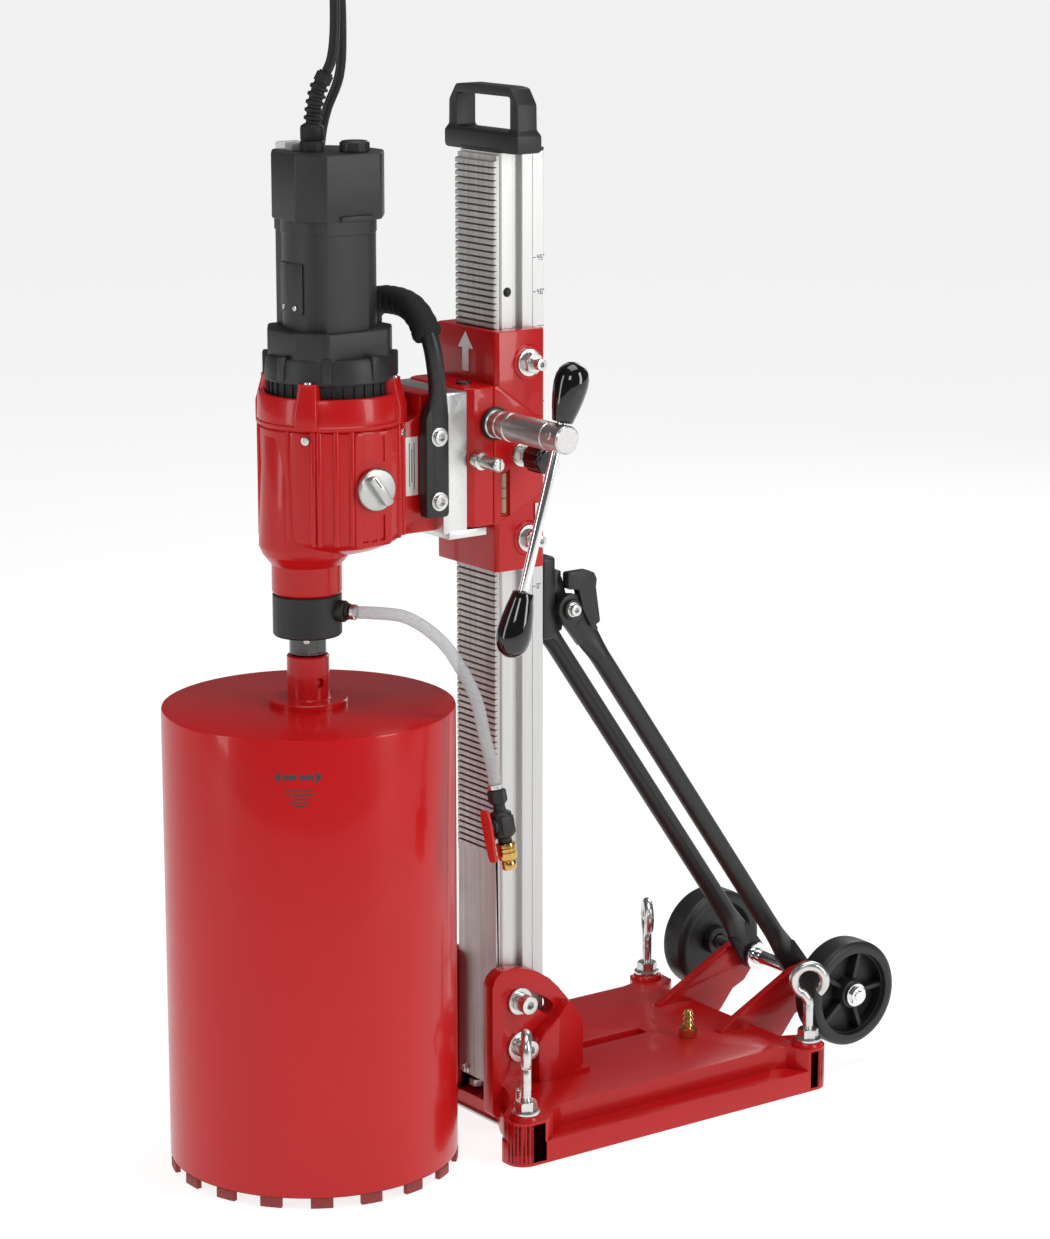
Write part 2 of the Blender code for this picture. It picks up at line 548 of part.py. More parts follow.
dial = [(0, 882), (11.5, 882), (12.5, 880.5), (12.5, 873.3), (0, 873.3)]
finish_mesh(lathe_bm(dial, 24, (22, -163, 0)), "speed_dial", "black_plastic", (22, -163, 880), True)
finish_mesh(box_bm(-28, -13, -200, -188, 874.5, 880), "power_switch", "gloss_black", (-20.5, -194, 877))

SIDEWAYS = Vector((0.5402, 0.8416, 0.0))
gland_at = Vector((0, -190, 0))
boot = lathe_bm([(0, 895), (9.6, 895), (10, 893), (10, 873.3), (0, 873.3)], 20, gland_at)
BOOT_RUN = [(0, 886), (0.6, 896), (1.6, 906), (3.4, 916), (6.2, 925), (9.6, 932), (12.3, 937.5)]
sleeve = tube_bm([tuple(gland_at + SIDEWAYS * r + Vector((0, 0, z))) for r, z in BOOT_RUN], 7.8, 2)
finish_mesh(join(boot, sleeve), "cord_gland", "rubber", car_at, True)

# ---------------------------------------------------------------- motor handle
bar_points = [(49, -100, 575), (49, -100, 655), (51, -101, 672), (52, -104, 692), (50, -107, 712),
              (43, -109, 727),
              (32, -110, 737), (18, -110, 742), (0, -110, 743)]
left = [(-x, y, z) for x, y, z in reversed(bar_points[:-1])]
bar = tube_bm(bar_points + left, 7.6, 2)
pads = []
for side in (1, -1):
    lo, hi = sorted((side * 40.4, side * 52.0))
    pads.append(prism_bm([[(-110, 563), (-91, 563), (-91, 652), (-96, 664), (-105, 664), (-110, 652)]],
                         lo, hi, "x"))
finish_mesh(join(bar, *pads), "handle_bar", "black_powder", car_at, True)
sleeve_path = [(46.5, -108.2, 720), (38, -109.5, 732.5), (26, -110, 740), (13, -110, 743), (0, -110, 743.5),
               (-13, -110, 743), (-26, -110, 740), (-38, -109.5, 732.5), (-46.5, -108.2, 720)]
sleeve = cut(tube_bm(sleeve_path, 13.0, 2), tube_bm(bar_points + left, 7.9, 2))
finish_mesh(sleeve, "handle_grip", "rubber", car_at, True)

# ---------------------------------------------------------------- spindle, water ring, bit
spin_at = (0, BIT_Y, 500)
spindle = [(0, 625), (5, 625), (19.6, 624), (19.6, 609), (16.6, 607), (16.6, 451), (0, 451)]
finish_mesh(lathe_bm(spindle, 32, (0, BIT_Y, 0)), "spindle", "bright_steel", spin_at, True)
ring = lathe_bm([(17.0, 503.8), (29.3, 503.8), (29.3, 468), (17.0, 468)], 32, (0, BIT_Y, 0), closed=True)
BARB = Vector((0.85, 0.527, 0.0)).normalized()
start = Vector((0, BIT_Y, 490.0))
barb = lathe_bm([(0, 40.6), (4.6, 40.6), (4.6, 40), (9, 39.6), (9, 30), (7, 29.8), (7, 24), (0, 24)], 16,
                start, BARB)
finish_mesh(join(ring, barb), "water_ring", "black_plastic", car_at, True)

hub = [(0, 450.5), (17, 450.5), (18, 450), (18, 413), (33.5, 412.5), (33.5, BIT_TOP), (BIT_R, BIT_TOP),
       (BIT_R, 10.6),
       (BIT_R - BIT_WALL, 10.6), (BIT_R - BIT_WALL, BIT_TOP - 5), (0, BIT_TOP - 5)]
finish_mesh(lathe_bm(hub, 64, (0, BIT_Y, 0)), "core_bit", "red_paint", spin_at, True)

crown = lathe_bm([(BIT_R, 10.3), (BIT_R, 9.0), (BIT_R - BIT_WALL, 9.0), (BIT_R - BIT_WALL, 10.3)], 66,
                 (0, BIT_Y, 0), closed=True)
tooth_half = 12.0 / BIT_R
for k in range(SEGMENTS):
    mid = math.tau * (k + 0.5) / SEGMENTS
    outer = circle(0, BIT_Y, BIT_R + 0.3, 4, mid - tooth_half, 2 * tooth_half, ends=True)
    inner = circle(0, BIT_Y, BIT_R - BIT_WALL - 0.3, 4, mid + tooth_half, -2 * tooth_half, ends=True)
    crown = join(crown, prism_bm([outer + inner], 0.8, 9.6))
finish_mesh(crown, "bit_segments", "diamond_metal", spin_at)

# ---------------------------------------------------------------- feed crank
crank_at = (0, PINION_Y, PINION_Z)
pitch_r = RACK_PITCH * PINION_TEETH / math.tau
gear = []
for k in range(PINION_TEETH):
    mid = math.tau * k / PINION_TEETH
    step = math.tau / PINION_TEETH
    for da, radius in ((-0.30, pitch_r - 2.1), (-0.12, pitch_r + 1.6), (0.12, pitch_r + 1.6),
                       (0.30, pitch_r - 2.1)):
        gear.append((PINION_Y + radius * math.cos(mid + da * step),
                     PINION_Z + radius * math.sin(mid + da * step)))
pinion = prism_bm([gear], -16.0, 16.0, "x")
shaft = lathe_bm([(0, 150), (11, 150), (12, 149), (12, 74), (12.6, 73), (12.6, 66), (11.2, 65), (11.2, 49),
                  (12.5, 48), (12.5, 31), (10.5, 31), (10.5, 17.6), (8, 17.6), (8, -40), (0, -40)], 30,
                 crank_at, (1, 0, 0))
lean = Vector((0, math.sin(ROD_LEAN), math.cos(ROD_LEAN)))
hub_at = Vector((ROD_X, PINION_Y, PINION_Z))
shaft = cut(join(pinion, shaft),
            hole_bm(4.6, -30, 30, 14, hub_at, lean))
finish_mesh(shaft, "crank_shaft", "bright_steel", crank_at, True)
finish_mesh(lathe_bm(rod_profile(4.3, -150, 24), 14, hub_at, lean), "crank_rod", "chrome", crank_at, True)
grip = [(0, 25), (4.6, 25), (4.6, 13.4), (8.5, 13.4), (9.2, 14.5), (11.2, 24), (13.6, 36), (14.6, 46), (14.0, 54),
        (11.0, 60), (6, 63.5), (0, 64.5)]
finish_mesh(lathe_bm(grip, 24, hub_at, lean), "crank_knob_upper", "gloss_black", crank_at, True)
grip = [(0, 151), (4.6, 151), (4.6, 131), (8.5, 131), (9.2, 132.5), (11.2, 143), (13.8, 157), (14.8, 167),
        (14.0, 176), (11.0, 182.5), (6, 186), (0, 187)]
finish_mesh(lathe_bm(grip, 24, hub_at, -lean), "crank_knob_lower", "gloss_black", crank_at, True)

# ---------------------------------------------------------------- knobs on the carriage and gearbox
lock = [(0, 86), (9, 86), (12.5, 82), (12.5, 62), (8, 60), (7, 59.5), (7, 46), (5.0, 45.3), (5.0, 32), (0, 32)]
finish_mesh(lathe_bm(lock, 20, (0, -11, 608), (1, 0, 0)), "feed_lock_knob", "gloss_black", (45, -11, 608), True)
clamp = [(0, 80), (4.6, 80), (5.8, 78), (5.8, 56), (7.6, 55), (7.6, 46), (5.0, 45.3), (5.0, 31), (0, 31)]
finish_mesh(lathe_bm(clamp, 18, (0, -58, 608), (1, 0, 0)), "adaptor_clamp_screw", "bright_steel",
            (45, -58, 608), True)
selector = lathe_bm([(0, 68), (17.5, 68), (18, 67), (18, 62.0), (5.0, 61.8), (5.0, 52), (0, 52)], 28,
                    (0, -173, 598), (1, 0, 0))
wing = box_bm(66, 73.5, -177.5, -168.5, 581.5, 614.5)
finish_mesh(join(selector, wing), "gear_selector", "knob_grey", (62, -173, 598), True)

# ---------------------------------------------------------------- water hose and its valve
RUN = [(0.0, 0.0), (32.4, 1.1), (49.6, -0.3), (68.0, -8.1), (86.3, -22.0), (98.7, -38.3),
       (106.3, -50.7), (114.4, -68.9), (121.4, -98.3), (127.3, -119.7), (131.1, -140.4)]
hose_start = start + BARB * 41.0
hose_way = [tuple(hose_start + BARB * s + Vector((0, 0, z))) for s, z in RUN]
finish_mesh(tube_bm(hose_way, HOSE_R, 2), "water_hose", "clear_hose", car_at, True)

drop = (BARB * 3.8 + Vector((0, 0, -20.7))).normalized()
valve_at = Vector(hose_way[-1])
facing = Vector((0, -1, 0))
facing = (facing - drop * facing.dot(drop)).normalized()
width = drop.cross(facing)
body = lathe_bm([(0, 0.4), (7.2, 0.4), (7.2, 12), (5, 13), (5, 18), (9.5, 20), (9.5, 40), (6, 42), (6, 46), (0, 46)],
                18, valve_at, drop)
hub_line = valve_at + drop * 30
body = join(body, lathe_bm(rod_profile(4.0, 5, 13.5), 14, hub_line, facing))
finish_mesh(body, "hose_valve", "black_plastic", car_at, True)
coupling = [(0, 46.3), (8.4, 46.3), (8.4, 60), (6.2, 61), (6.2, 69), (0, 69)]
finish_mesh(lathe_bm(coupling, 18, valve_at, drop), "hose_coupling", "brass", car_at, True)
lever = box_bm(-6.5, 6.5, -1.3, 1.3, -16, 30)
turn = Matrix((width, facing, drop)).transposed().to_4x4()
bmesh.ops.transform(lever, matrix=Matrix.Translation(hub_line + facing * 15.2) @ turn, verts=lever.verts)
finish_mesh(lever, "valve_lever", "red_lever", tuple(hub_line), False)

# ---------------------------------------------------------------- mains cord
CORD_RUN = [(0, 12.5, 937.9), (0, 15.8, 945), (0, 18, 955), (1, 19.3, 968), (3, 19.8, 983), (8, 19.8, 1003),
            (18, 19.8, 1022), (33, 20, 1037), (52, 20.5, 1044), (71, 21.5, 1038), (86, 23, 1024),
            (96, 25, 1005), (102, 26, 980), (106, 26, 957), (108, 25.5, 941), (109, 23.5, 926),
            (110, 19.5, 914), (111, 13.5, 900), (112, 9, 883), (113, 6.5, 865), (114, 3, 838), (115, 0, 800),
            (117, 0, 765), (120, 0, 730), (124, 0, 695), (129, 0, 660), (135, 0, 620), (142, 0, 580),
            (150, 0, 540), (159, 0, 500), (168, 0, 460), (178, 0, 420), (188, 0, 380), (198, 0, 340),
            (208, 0, 300), (218, 0, 260), (228, 0, 220), (238, 0, 180), (248, 0, 140), (258, 0, 104),
            (269, 0, 72), (282, 0, 43), (297, 0, 22), (315, 0, 9), (336, 0, 4.7), (362, 0, 4.7)]
cord_way = [tuple(gland_at + AWAY * s + SIDEWAYS * r + Vector((0, 0, z))) for s, r, z in CORD_RUN]
finish_mesh(tube_bm(cord_way, CORD_R, 1), "mains_cord", "rubber", car_at, True)
coil_at = gland_at + AWAY * 400 + SIDEWAYS * COIL_MEAN_R
ring = [(COIL_MEAN_R + COIL_HALF * math.cos(a), 13.2 + COIL_HALF * math.sin(a))
        for a in [math.tau * k / 12 for k in range(12)]]
finish_mesh(lathe_bm(ring, 32, coil_at, closed=True), "cord_coil", "rubber", base_at, True)
plug_line = gland_at + AWAY * 356.5 + SIDEWAYS * (2 * COIL_MEAN_R) + Vector((0, 0, 19.0))
plug = [(0, 0.4), (4.6, 0.4), (7.5, 28), (12, 32), (17.5, 44), (18.5, 50), (18.5, 72), (16, 74), (0, 74)]
body = lathe_bm(plug, 24, plug_line, -AWAY)
pins = [lathe_bm(rod_profile(2.4, 72, 92, 1.0), 10, plug_line + SIDEWAYS * s, -AWAY) for s in (-9.5, 9.5)]
finish_mesh(join(body, *pins), "mains_plug", "rubber", base_at, True)
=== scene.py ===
import math

import bmesh
import bpy
from mathutils import Matrix, Vector


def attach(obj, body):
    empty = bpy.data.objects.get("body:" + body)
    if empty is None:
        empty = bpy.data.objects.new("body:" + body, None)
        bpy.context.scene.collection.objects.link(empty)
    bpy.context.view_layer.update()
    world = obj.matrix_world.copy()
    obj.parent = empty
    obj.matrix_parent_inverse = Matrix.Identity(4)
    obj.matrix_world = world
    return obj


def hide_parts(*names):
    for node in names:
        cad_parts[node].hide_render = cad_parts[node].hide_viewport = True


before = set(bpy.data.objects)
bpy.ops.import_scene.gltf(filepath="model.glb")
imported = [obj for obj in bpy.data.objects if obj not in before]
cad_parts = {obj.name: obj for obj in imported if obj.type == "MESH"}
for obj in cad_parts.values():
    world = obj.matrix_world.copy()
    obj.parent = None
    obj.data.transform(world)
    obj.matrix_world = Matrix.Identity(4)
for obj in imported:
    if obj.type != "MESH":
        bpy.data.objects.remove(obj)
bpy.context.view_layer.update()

MM = 0.001
scene = bpy.context.scene


# ---------------------------------------------------------------- camera, light, floor
def make_camera(azimuth, elevation, place, lens):
    """Camera at a place, looking the way its azimuth and elevation say, without shift."""
    a, e = math.radians(azimuth), math.radians(elevation)
    back = Vector((math.sin(a) * math.cos(e), -math.cos(a) * math.cos(e), math.sin(e)))
    data = bpy.data.cameras.new("camera")
    data.lens = lens
    data.sensor_width = 36.0
    data.clip_end = 60.0
    camera = bpy.data.objects.new("camera", data)
    camera.location = place
    camera.rotation_mode = "QUATERNION"
    camera.rotation_quaternion = (-back).to_track_quat("-Z", "Y")
    scene.collection.objects.link(camera)
    scene.camera = camera


def soft_light(name, place, target, width, height, power, colour=(1.0, 1.0, 1.0)):
    data = bpy.data.lights.new(name, "AREA")
    data.shape = "RECTANGLE"
    data.size = width
    data.size_y = height
    data.energy = power
    data.color = colour
    light = bpy.data.objects.new(name, data)
    light.location = place
    light.rotation_mode = "QUATERNION"
    light.rotation_quaternion = (Vector(target) - Vector(place)).to_track_quat("-Z", "Y")
    scene.collection.objects.link(light)


def make_studio():
    make_camera(53.9171, 12.8179, (2.488, -1.787, 1.150), 103.97)
    middle = (0.0, -0.05, 0.5)
    soft_light("key", (2.3, 1.1, 1.5), middle, 0.7, 2.0, 31.0)
    soft_light("left", (-0.5, -2.9, 1.4), middle, 0.55, 2.0, 17.0)
    soft_light("front", (2.4, -2.6, 2.6), middle, 0.9, 0.9, 16.0)
    soft_light("top", (0.2, 0.0, 3.2), (0.0, 0.0, 0.0), 2.0, 2.0, 40.0)
    soft_light("back", (-1.4, 2.4, 1.8), middle, 1.2, 1.6, 18.0)
    world = bpy.data.worlds.new("studio")
    scene.world = world
    world.use_nodes = True
    tree = world.node_tree
    room = tree.nodes["Background"]
    room.inputs["Color"].default_value = (0.93, 0.96, 1.0, 1.0)
    room.inputs["Strength"].default_value = 0.12
    wall = tree.nodes.new("ShaderNodeBackground")
    wall.inputs["Strength"].default_value = 1.0
    path = tree.nodes.new("ShaderNodeLightPath")
    mix = tree.nodes.new("ShaderNodeMixShader")
    tree.links.new(path.outputs["Is Camera Ray"], mix.inputs["Fac"])
    tree.links.new(room.outputs["Background"], mix.inputs[1])
    tree.links.new(wall.outputs["Background"], mix.inputs[2])
    tree.links.new(mix.outputs["Shader"], tree.nodes["World Output"].inputs["Surface"])
    bm = bmesh.new()
    bmesh.ops.create_grid(bm, x_segments=1, y_segments=1, size=30.0)
    mesh = bpy.data.meshes.new("floor")
    bm.to_mesh(mesh)
    bm.free()
    floor = bpy.data.objects.new("floor", mesh)
    scene.collection.objects.link(floor)
    mat = bpy.data.materials.new("floor_paper")
    mat.use_nodes = True
    shader = mat.node_tree.nodes["Principled BSDF"]
    shader.inputs["Base Color"].default_value = (0.33, 0.33, 0.33, 1.0)
    shader.inputs["Roughness"].default_value = 0.9
    shader.inputs["Specular IOR Level"].default_value = 0.1
    shader.inputs["Emission Color"].default_value = (1.0, 1.0, 1.0, 1.0)
    shader.inputs["Emission Strength"].default_value = 0.84
    mesh.materials.append(mat)
    scene.view_settings.view_transform = "Standard"
    scene.view_settings.look = "None"


# ---------------------------------------------------------------- materials
class Finish:
    """A node material put together from a few procedural layers in the piece's own space."""

    def __init__(self, name, colour, rough, metallic=0.0, coat=0.0, coat_rough=0.06, specular=0.5):
        self.mat = bpy.data.materials.new(name)
        self.mat.use_nodes = True
        self.tree = self.mat.node_tree
        self.shader = self.tree.nodes["Principled BSDF"]
        self.colour = colour
        self.shader.inputs["Base Color"].default_value = (*colour, 1.0)
        self.shader.inputs["Roughness"].default_value = rough
        self.shader.inputs["Metallic"].default_value = metallic
        self.shader.inputs["Coat Weight"].default_value = coat
        self.shader.inputs["Coat Roughness"].default_value = coat_rough
        self.shader.inputs["Specular IOR Level"].default_value = specular
        self.mat.diffuse_color = (*colour, 1.0)
        self.rough = rough
        self.where = self.tree.nodes.new("ShaderNodeTexCoord").outputs["Object"]
        self.height = None

    def node(self, kind, **sockets):
        made = self.tree.nodes.new(kind)
        for key, value in sockets.items():
            socket = made.inputs[key.replace("_", " ")]
            if isinstance(value, bpy.types.NodeSocket):
                self.tree.links.new(value, socket)
            else:
                socket.default_value = value
        return made

    def noise(self, scale, detail=3.0, stretch=(1.0, 1.0, 1.0), roughness=0.5):
        mapping = self.node("ShaderNodeMapping", Vector=self.where, Scale=stretch)
        made = self.node("ShaderNodeTexNoise", Vector=mapping.outputs["Vector"], Scale=scale,
                         Detail=detail, Roughness=roughness)
        return made.outputs["Fac"]

    def spread(self, value, low, high, out_low, out_high):
        made = self.node("ShaderNodeMapRange", Value=value, From_Min=low, From_Max=high,
                         To_Min=out_low, To_Max=out_high)
        return made.outputs["Result"]

    def tint(self, fac, low, high):
        """Blend the base colour between two tones of itself."""
        mix = self.tree.nodes.new("ShaderNodeMix")
        mix.data_type = "RGBA"
        self.tree.links.new(fac, mix.inputs["Factor"])
        mix.inputs["A"].default_value = (*[min(1.0, c * low) for c in self.colour], 1.0)
        mix.inputs["B"].default_value = (*[min(1.0, c * high) for c in self.colour], 1.0)
        self.tree.links.new(mix.outputs["Result"], self.shader.inputs["Base Color"])
        return mix

    def vary_rough(self, fac, amount):
        out = self.spread(fac, 0.0, 1.0, max(0.02, self.rough - amount), self.rough + amount)
        self.tree.links.new(out, self.shader.inputs["Roughness"])
        return self

    def bump(self, value, strength, distance):
        made = self.node("ShaderNodeBump", Height=value, Strength=strength, Distance=distance)
        if self.height:
            self.tree.links.new(self.height, made.inputs["Normal"])
        self.height = made.outputs["Normal"]
        self.tree.links.new(self.height, self.shader.inputs["Normal"])
        return self


def red_enamel(name="red_enamel", colour=(0.52, 0.005, 0.006), peel=0.03):
    f = Finish(name, colour, 0.30, coat=0.28, coat_rough=0.06, specular=0.25)
    f.tint(f.noise(7.0, 2.0), 0.90, 1.08)
    f.vary_rough(f.noise(24.0, 3.0), 0.05)
    f.bump(f.noise(420.0, 2.0), peel, 0.0001)
    return f.mat


def casting_red(name="cast_red"):
    f = Finish(name, (0.51, 0.005, 0.006), 0.32, coat=0.28, coat_rough=0.08, specular=0.25)
    f.tint(f.noise(9.0, 2.0), 0.90, 1.09)
    f.vary_rough(f.noise(30.0, 3.0), 0.06)
    f.bump(f.noise(650.0, 2.0), 0.14, 0.0002)
    f.bump(f.noise(70.0, 2.0), 0.10, 0.0003)
    return f.mat


def powder_black(name="powder_black", colour=(0.012, 0.0125, 0.0125), rough=0.40):
    f = Finish(name, colour, rough)
    f.tint(f.noise(60.0, 3.0), 0.85, 1.2)
    f.vary_rough(f.noise(150.0, 2.0), 0.06)
    f.bump(f.noise(1800.0, 2.0), 0.35, 0.0002)
    return f.mat


def moulded_black(name="moulded_black", colour=(0.016, 0.0165, 0.016), rough=0.46):
    f = Finish(name, colour, rough, specular=0.45)
    f.tint(f.noise(40.0, 2.0), 0.9, 1.12)
    f.vary_rough(f.noise(80.0, 3.0), 0.05)
    f.bump(f.noise(2600.0, 1.0), 0.3, 0.00015)
    return f.mat


def gloss_black(name="gloss_black"):
    f = Finish(name, (0.003, 0.003, 0.003), 0.08, coat=0.5, coat_rough=0.03)
    f.tint(f.noise(30.0, 2.0), 0.8, 1.3)
    f.bump(f.noise(90.0, 2.0), 0.04, 0.0004)
    return f.mat


def soft_rubber(name="soft_rubber", colour=(0.010, 0.010, 0.010), rough=0.58):
    f = Finish(name, colour, rough, specular=0.35)
    f.tint(f.noise(90.0, 3.0), 0.8, 1.3)
    f.vary_rough(f.noise(60.0, 3.0), 0.08)
    f.bump(f.noise(1500.0, 2.0), 0.3, 0.0002)
    return f.mat


def brushed_metal(name, colour, rough, along=2, fine=900.0, strength=0.12, vary=0.07):
    """Metal with fine lines that run along one axis of the row."""
    stretch = [1.0, 1.0, 1.0]
    stretch[along] = 0.02
    f = Finish(name, colour, rough, metallic=1.0)
    lines = f.noise(fine, 2.0, tuple(stretch), 0.6)
    f.tint(f.spread(lines, 0.3, 0.7, 0.0, 1.0), 0.94, 1.05)
    f.vary_rough(f.noise(fine * 0.4, 2.0, tuple(stretch)), vary)
    f.bump(lines, strength, 0.0002)
    return f.mat


def anodised(name="anodised"):
    f = Finish(name, (0.63, 0.63, 0.62), 0.38, metallic=0.80)
    lines = f.noise(700.0, 2.0, (1.0, 1.0, 0.012), 0.6)
    f.tint(f.spread(lines, 0.3, 0.7, 0.0, 1.0), 0.96, 1.03)
    f.vary_rough(f.noise(12.0, 3.0, (1.0, 1.0, 0.2)), 0.05)
    f.bump(lines, 0.06, 0.0002)
    return f.mat


def zinc(name="zinc_plate", colour=(0.70, 0.70, 0.68), rough=0.28):
    f = Finish(name, colour, rough, metallic=1.0)
    f.tint(f.spread(f.noise(70.0, 3.0), 0.3, 0.7, 0.0, 1.0), 0.88, 1.08)
    f.vary_rough(f.noise(160.0, 3.0), 0.08)
    f.bump(f.noise(700.0, 2.0), 0.05, 0.0002)
    return f.mat


def turned_chrome(name="turned_chrome"):
    f = Finish(name, (0.84, 0.84, 0.84), 0.10, metallic=1.0)
    f.vary_rough(f.noise(120.0, 3.0), 0.04)
    f.bump(f.noise(60.0, 2.0), 0.03, 0.0003)
    return f.mat


def brass(name="turned_brass"):
    f = Finish(name, (0.66, 0.42, 0.14), 0.24, metallic=1.0)
    f.tint(f.spread(f.noise(90.0, 3.0), 0.3, 0.7, 0.0, 1.0), 0.82, 1.12)
    f.vary_rough(f.noise(200.0, 3.0), 0.08)
    f.bump(f.noise(900.0, 2.0), 0.06, 0.0002)
    return f.mat


def rack_steel(name="rack_steel_milled"):
    f = Finish(name, (0.50, 0.48, 0.46), 0.42, metallic=0.8)
    cutter = f.noise(260.0, 3.0, (1.0, 1.0, 0.02))
    f.tint(f.spread(cutter, 0.3, 0.7, 0.0, 1.0), 0.82, 1.14)
    f.vary_rough(f.noise(45.0, 3.0), 0.09)
    f.bump(f.noise(900.0, 2.0, (1.0, 1.0, 0.02)), 0.08, 0.0002)
    return f.mat


def sintered(name="sintered_segment"):
    f = Finish(name, (0.30, 0.035, 0.03), 0.55, metallic=0.1)
    f.tint(f.spread(f.noise(900.0, 3.0), 0.35, 0.65, 0.0, 1.0), 0.6, 1.3)
    f.bump(f.noise(1300.0, 3.0), 0.6, 0.0004)
    return f.mat


def braided_hose(name="braided_hose"):
    """Clear hose: two crossing sets of threads worked out from the hose's own UVs."""
    f = Finish(name, (0.60, 0.61, 0.62), 0.18, specular=0.5)
    uv = f.tree.nodes.new("ShaderNodeTexCoord").outputs["UV"]
    threads = []
    for slant in (1.0, -1.0):
        mapping = f.node("ShaderNodeMapping", Vector=uv, Rotation=(0.0, 0.0, slant * math.radians(45.0)))
        wave = f.tree.nodes.new("ShaderNodeTexWave")
        wave.wave_type = "BANDS"
        wave.inputs["Scale"].default_value = 2.6
        f.tree.links.new(mapping.outputs["Vector"], wave.inputs["Vector"])
        threads.append(wave.outputs["Fac"])
    both = f.tree.nodes.new("ShaderNodeMath")
    both.operation = "MAXIMUM"
    for source, socket in zip(threads, both.inputs):
        f.tree.links.new(source, socket)
    weave = f.spread(both.outputs["Value"], 0.72, 0.95, 0.0, 1.0)
    f.tint(weave, 0.62, 1.12)
    f.tree.links.new(f.spread(weave, 0.0, 1.0, 0.30, 0.95), f.shader.inputs["Alpha"])
    f.bump(weave, 0.25, 0.0004)
    return f.mat


def vial_liquid(name="vial_liquid"):
    f = Finish(name, (0.42, 0.22, 0.12), 0.10, coat=0.8)
    f.tint(f.noise(60.0, 2.0), 0.85, 1.15)
    return f.mat


def clear_plastic(name="clear_plastic"):
    f = Finish(name, (0.75, 0.77, 0.78), 0.12, coat=0.6)
    f.tint(f.noise(50.0, 2.0), 0.92, 1.05)
    f.shader.inputs["Alpha"].default_value = 0.42
    return f.mat


def paper_label(name="paper_label"):
    f = Finish(name, (0.82, 0.81, 0.77), 0.45, coat=0.3)
    f.tint(f.noise(200.0, 3.0), 0.95, 1.04)
    return f.mat


def print_black(name="print_black"):
    f = Finish(name, (0.02, 0.004, 0.004), 0.32, coat=0.5)
    f.tint(f.noise(300.0, 2.0), 0.8, 1.4)
    return f.mat


def plain_white(name="print_white"):
    f = Finish(name, (0.80, 0.78, 0.77), 0.35, coat=0.4)
    f.tint(f.noise(300.0, 2.0), 0.95, 1.04)
    return f.mat


# ---------------------------------------------------------------- shape helpers (millimetres)
def fillet(points, radius, count=3, closed=True, only=None):
    """Round the corners of an outline with short arcs."""
    total = len(points)
    out = []
    for i, here in enumerate(points):
        if (not closed and i in (0, total - 1)) or (only is not None and i not in only):
            out.append(tuple(here))
            continue
        p, a, b = Vector(here), Vector(points[i - 1]), Vector(points[(i + 1) % total])
        to_a, to_b = a - p, b - p
        if min(to_a.length, to_b.length) < 1e-6:
            continue
        angle = to_a.angle(to_b)
        if angle > math.radians(172.0):
            out.append(tuple(here))
            continue
        back = min(radius / math.tan(angle / 2.0), to_a.length * 0.45, to_b.length * 0.45)
        start, end = p + to_a.normalized() * back, p + to_b.normalized() * back
        for k in range(count + 1):
            t = k / count
            q = start * (1 - t) ** 2 + p * (2 * t * (1 - t)) + end * t ** 2
            out.append(tuple(q))
    return out


def arc(cx, cy, radius, a0, a1, count=6):
    return [(cx + radius * math.cos(math.radians(a0 + (a1 - a0) * k / (count - 1))),
             cy + radius * math.sin(math.radians(a0 + (a1 - a0) * k / (count - 1)))) for k in range(count)]


def ring(cx, cy, radius, count=32, turn=0.0):
    return [(cx + radius * math.cos(math.tau * k / count + turn),
             cy + radius * math.sin(math.tau * k / count + turn)) for k in range(count)]


def smooth(points, per=6):
    """Points on a smooth curve through the given ones."""
    pts = [Vector(p) for p in points]
    pts = [pts[0] * 2 - pts[1]] + pts + [pts[-1] * 2 - pts[-2]]
    out = []
    for a, b, c, d in zip(pts, pts[1:], pts[2:], pts[3:]):
        for k in range(per):
            t = k / per
            out.append(0.5 * (2 * b + (c - a) * t + (2 * a - 5 * b + 4 * c - d) * t * t
                              + (3 * b - a - 3 * c + d) * t ** 3))
    out.append(pts[-2])
    return out


def axis_matrix(axis, mid):
    if axis == "x":
        return Matrix(((0, 0, 1, mid), (1, 0, 0, 0), (0, 1, 0, 0), (0, 0, 0, 1)))
    if axis == "y":
        return Matrix(((1, 0, 0, 0), (0, 0, -1, mid), (0, 1, 0, 0), (0, 0, 0, 1)))
    return Matrix.Translation((0, 0, mid))


def round_edges(bm, radius, segments=2, least=25.0, chosen=None):
    """Bevel the edges sharper than an angle."""
    limit = math.radians(least)
    edges = [e for e in bm.edges if len(e.link_faces) == 2 and e.calc_face_angle(0.0) > limit
             and (chosen is None or chosen(e))]
    bmesh.ops.bevel(bm, geom=edges, offset=radius, segments=segments, profile=0.5,
                    affect="EDGES", clamp_overlap=True)
    return bm


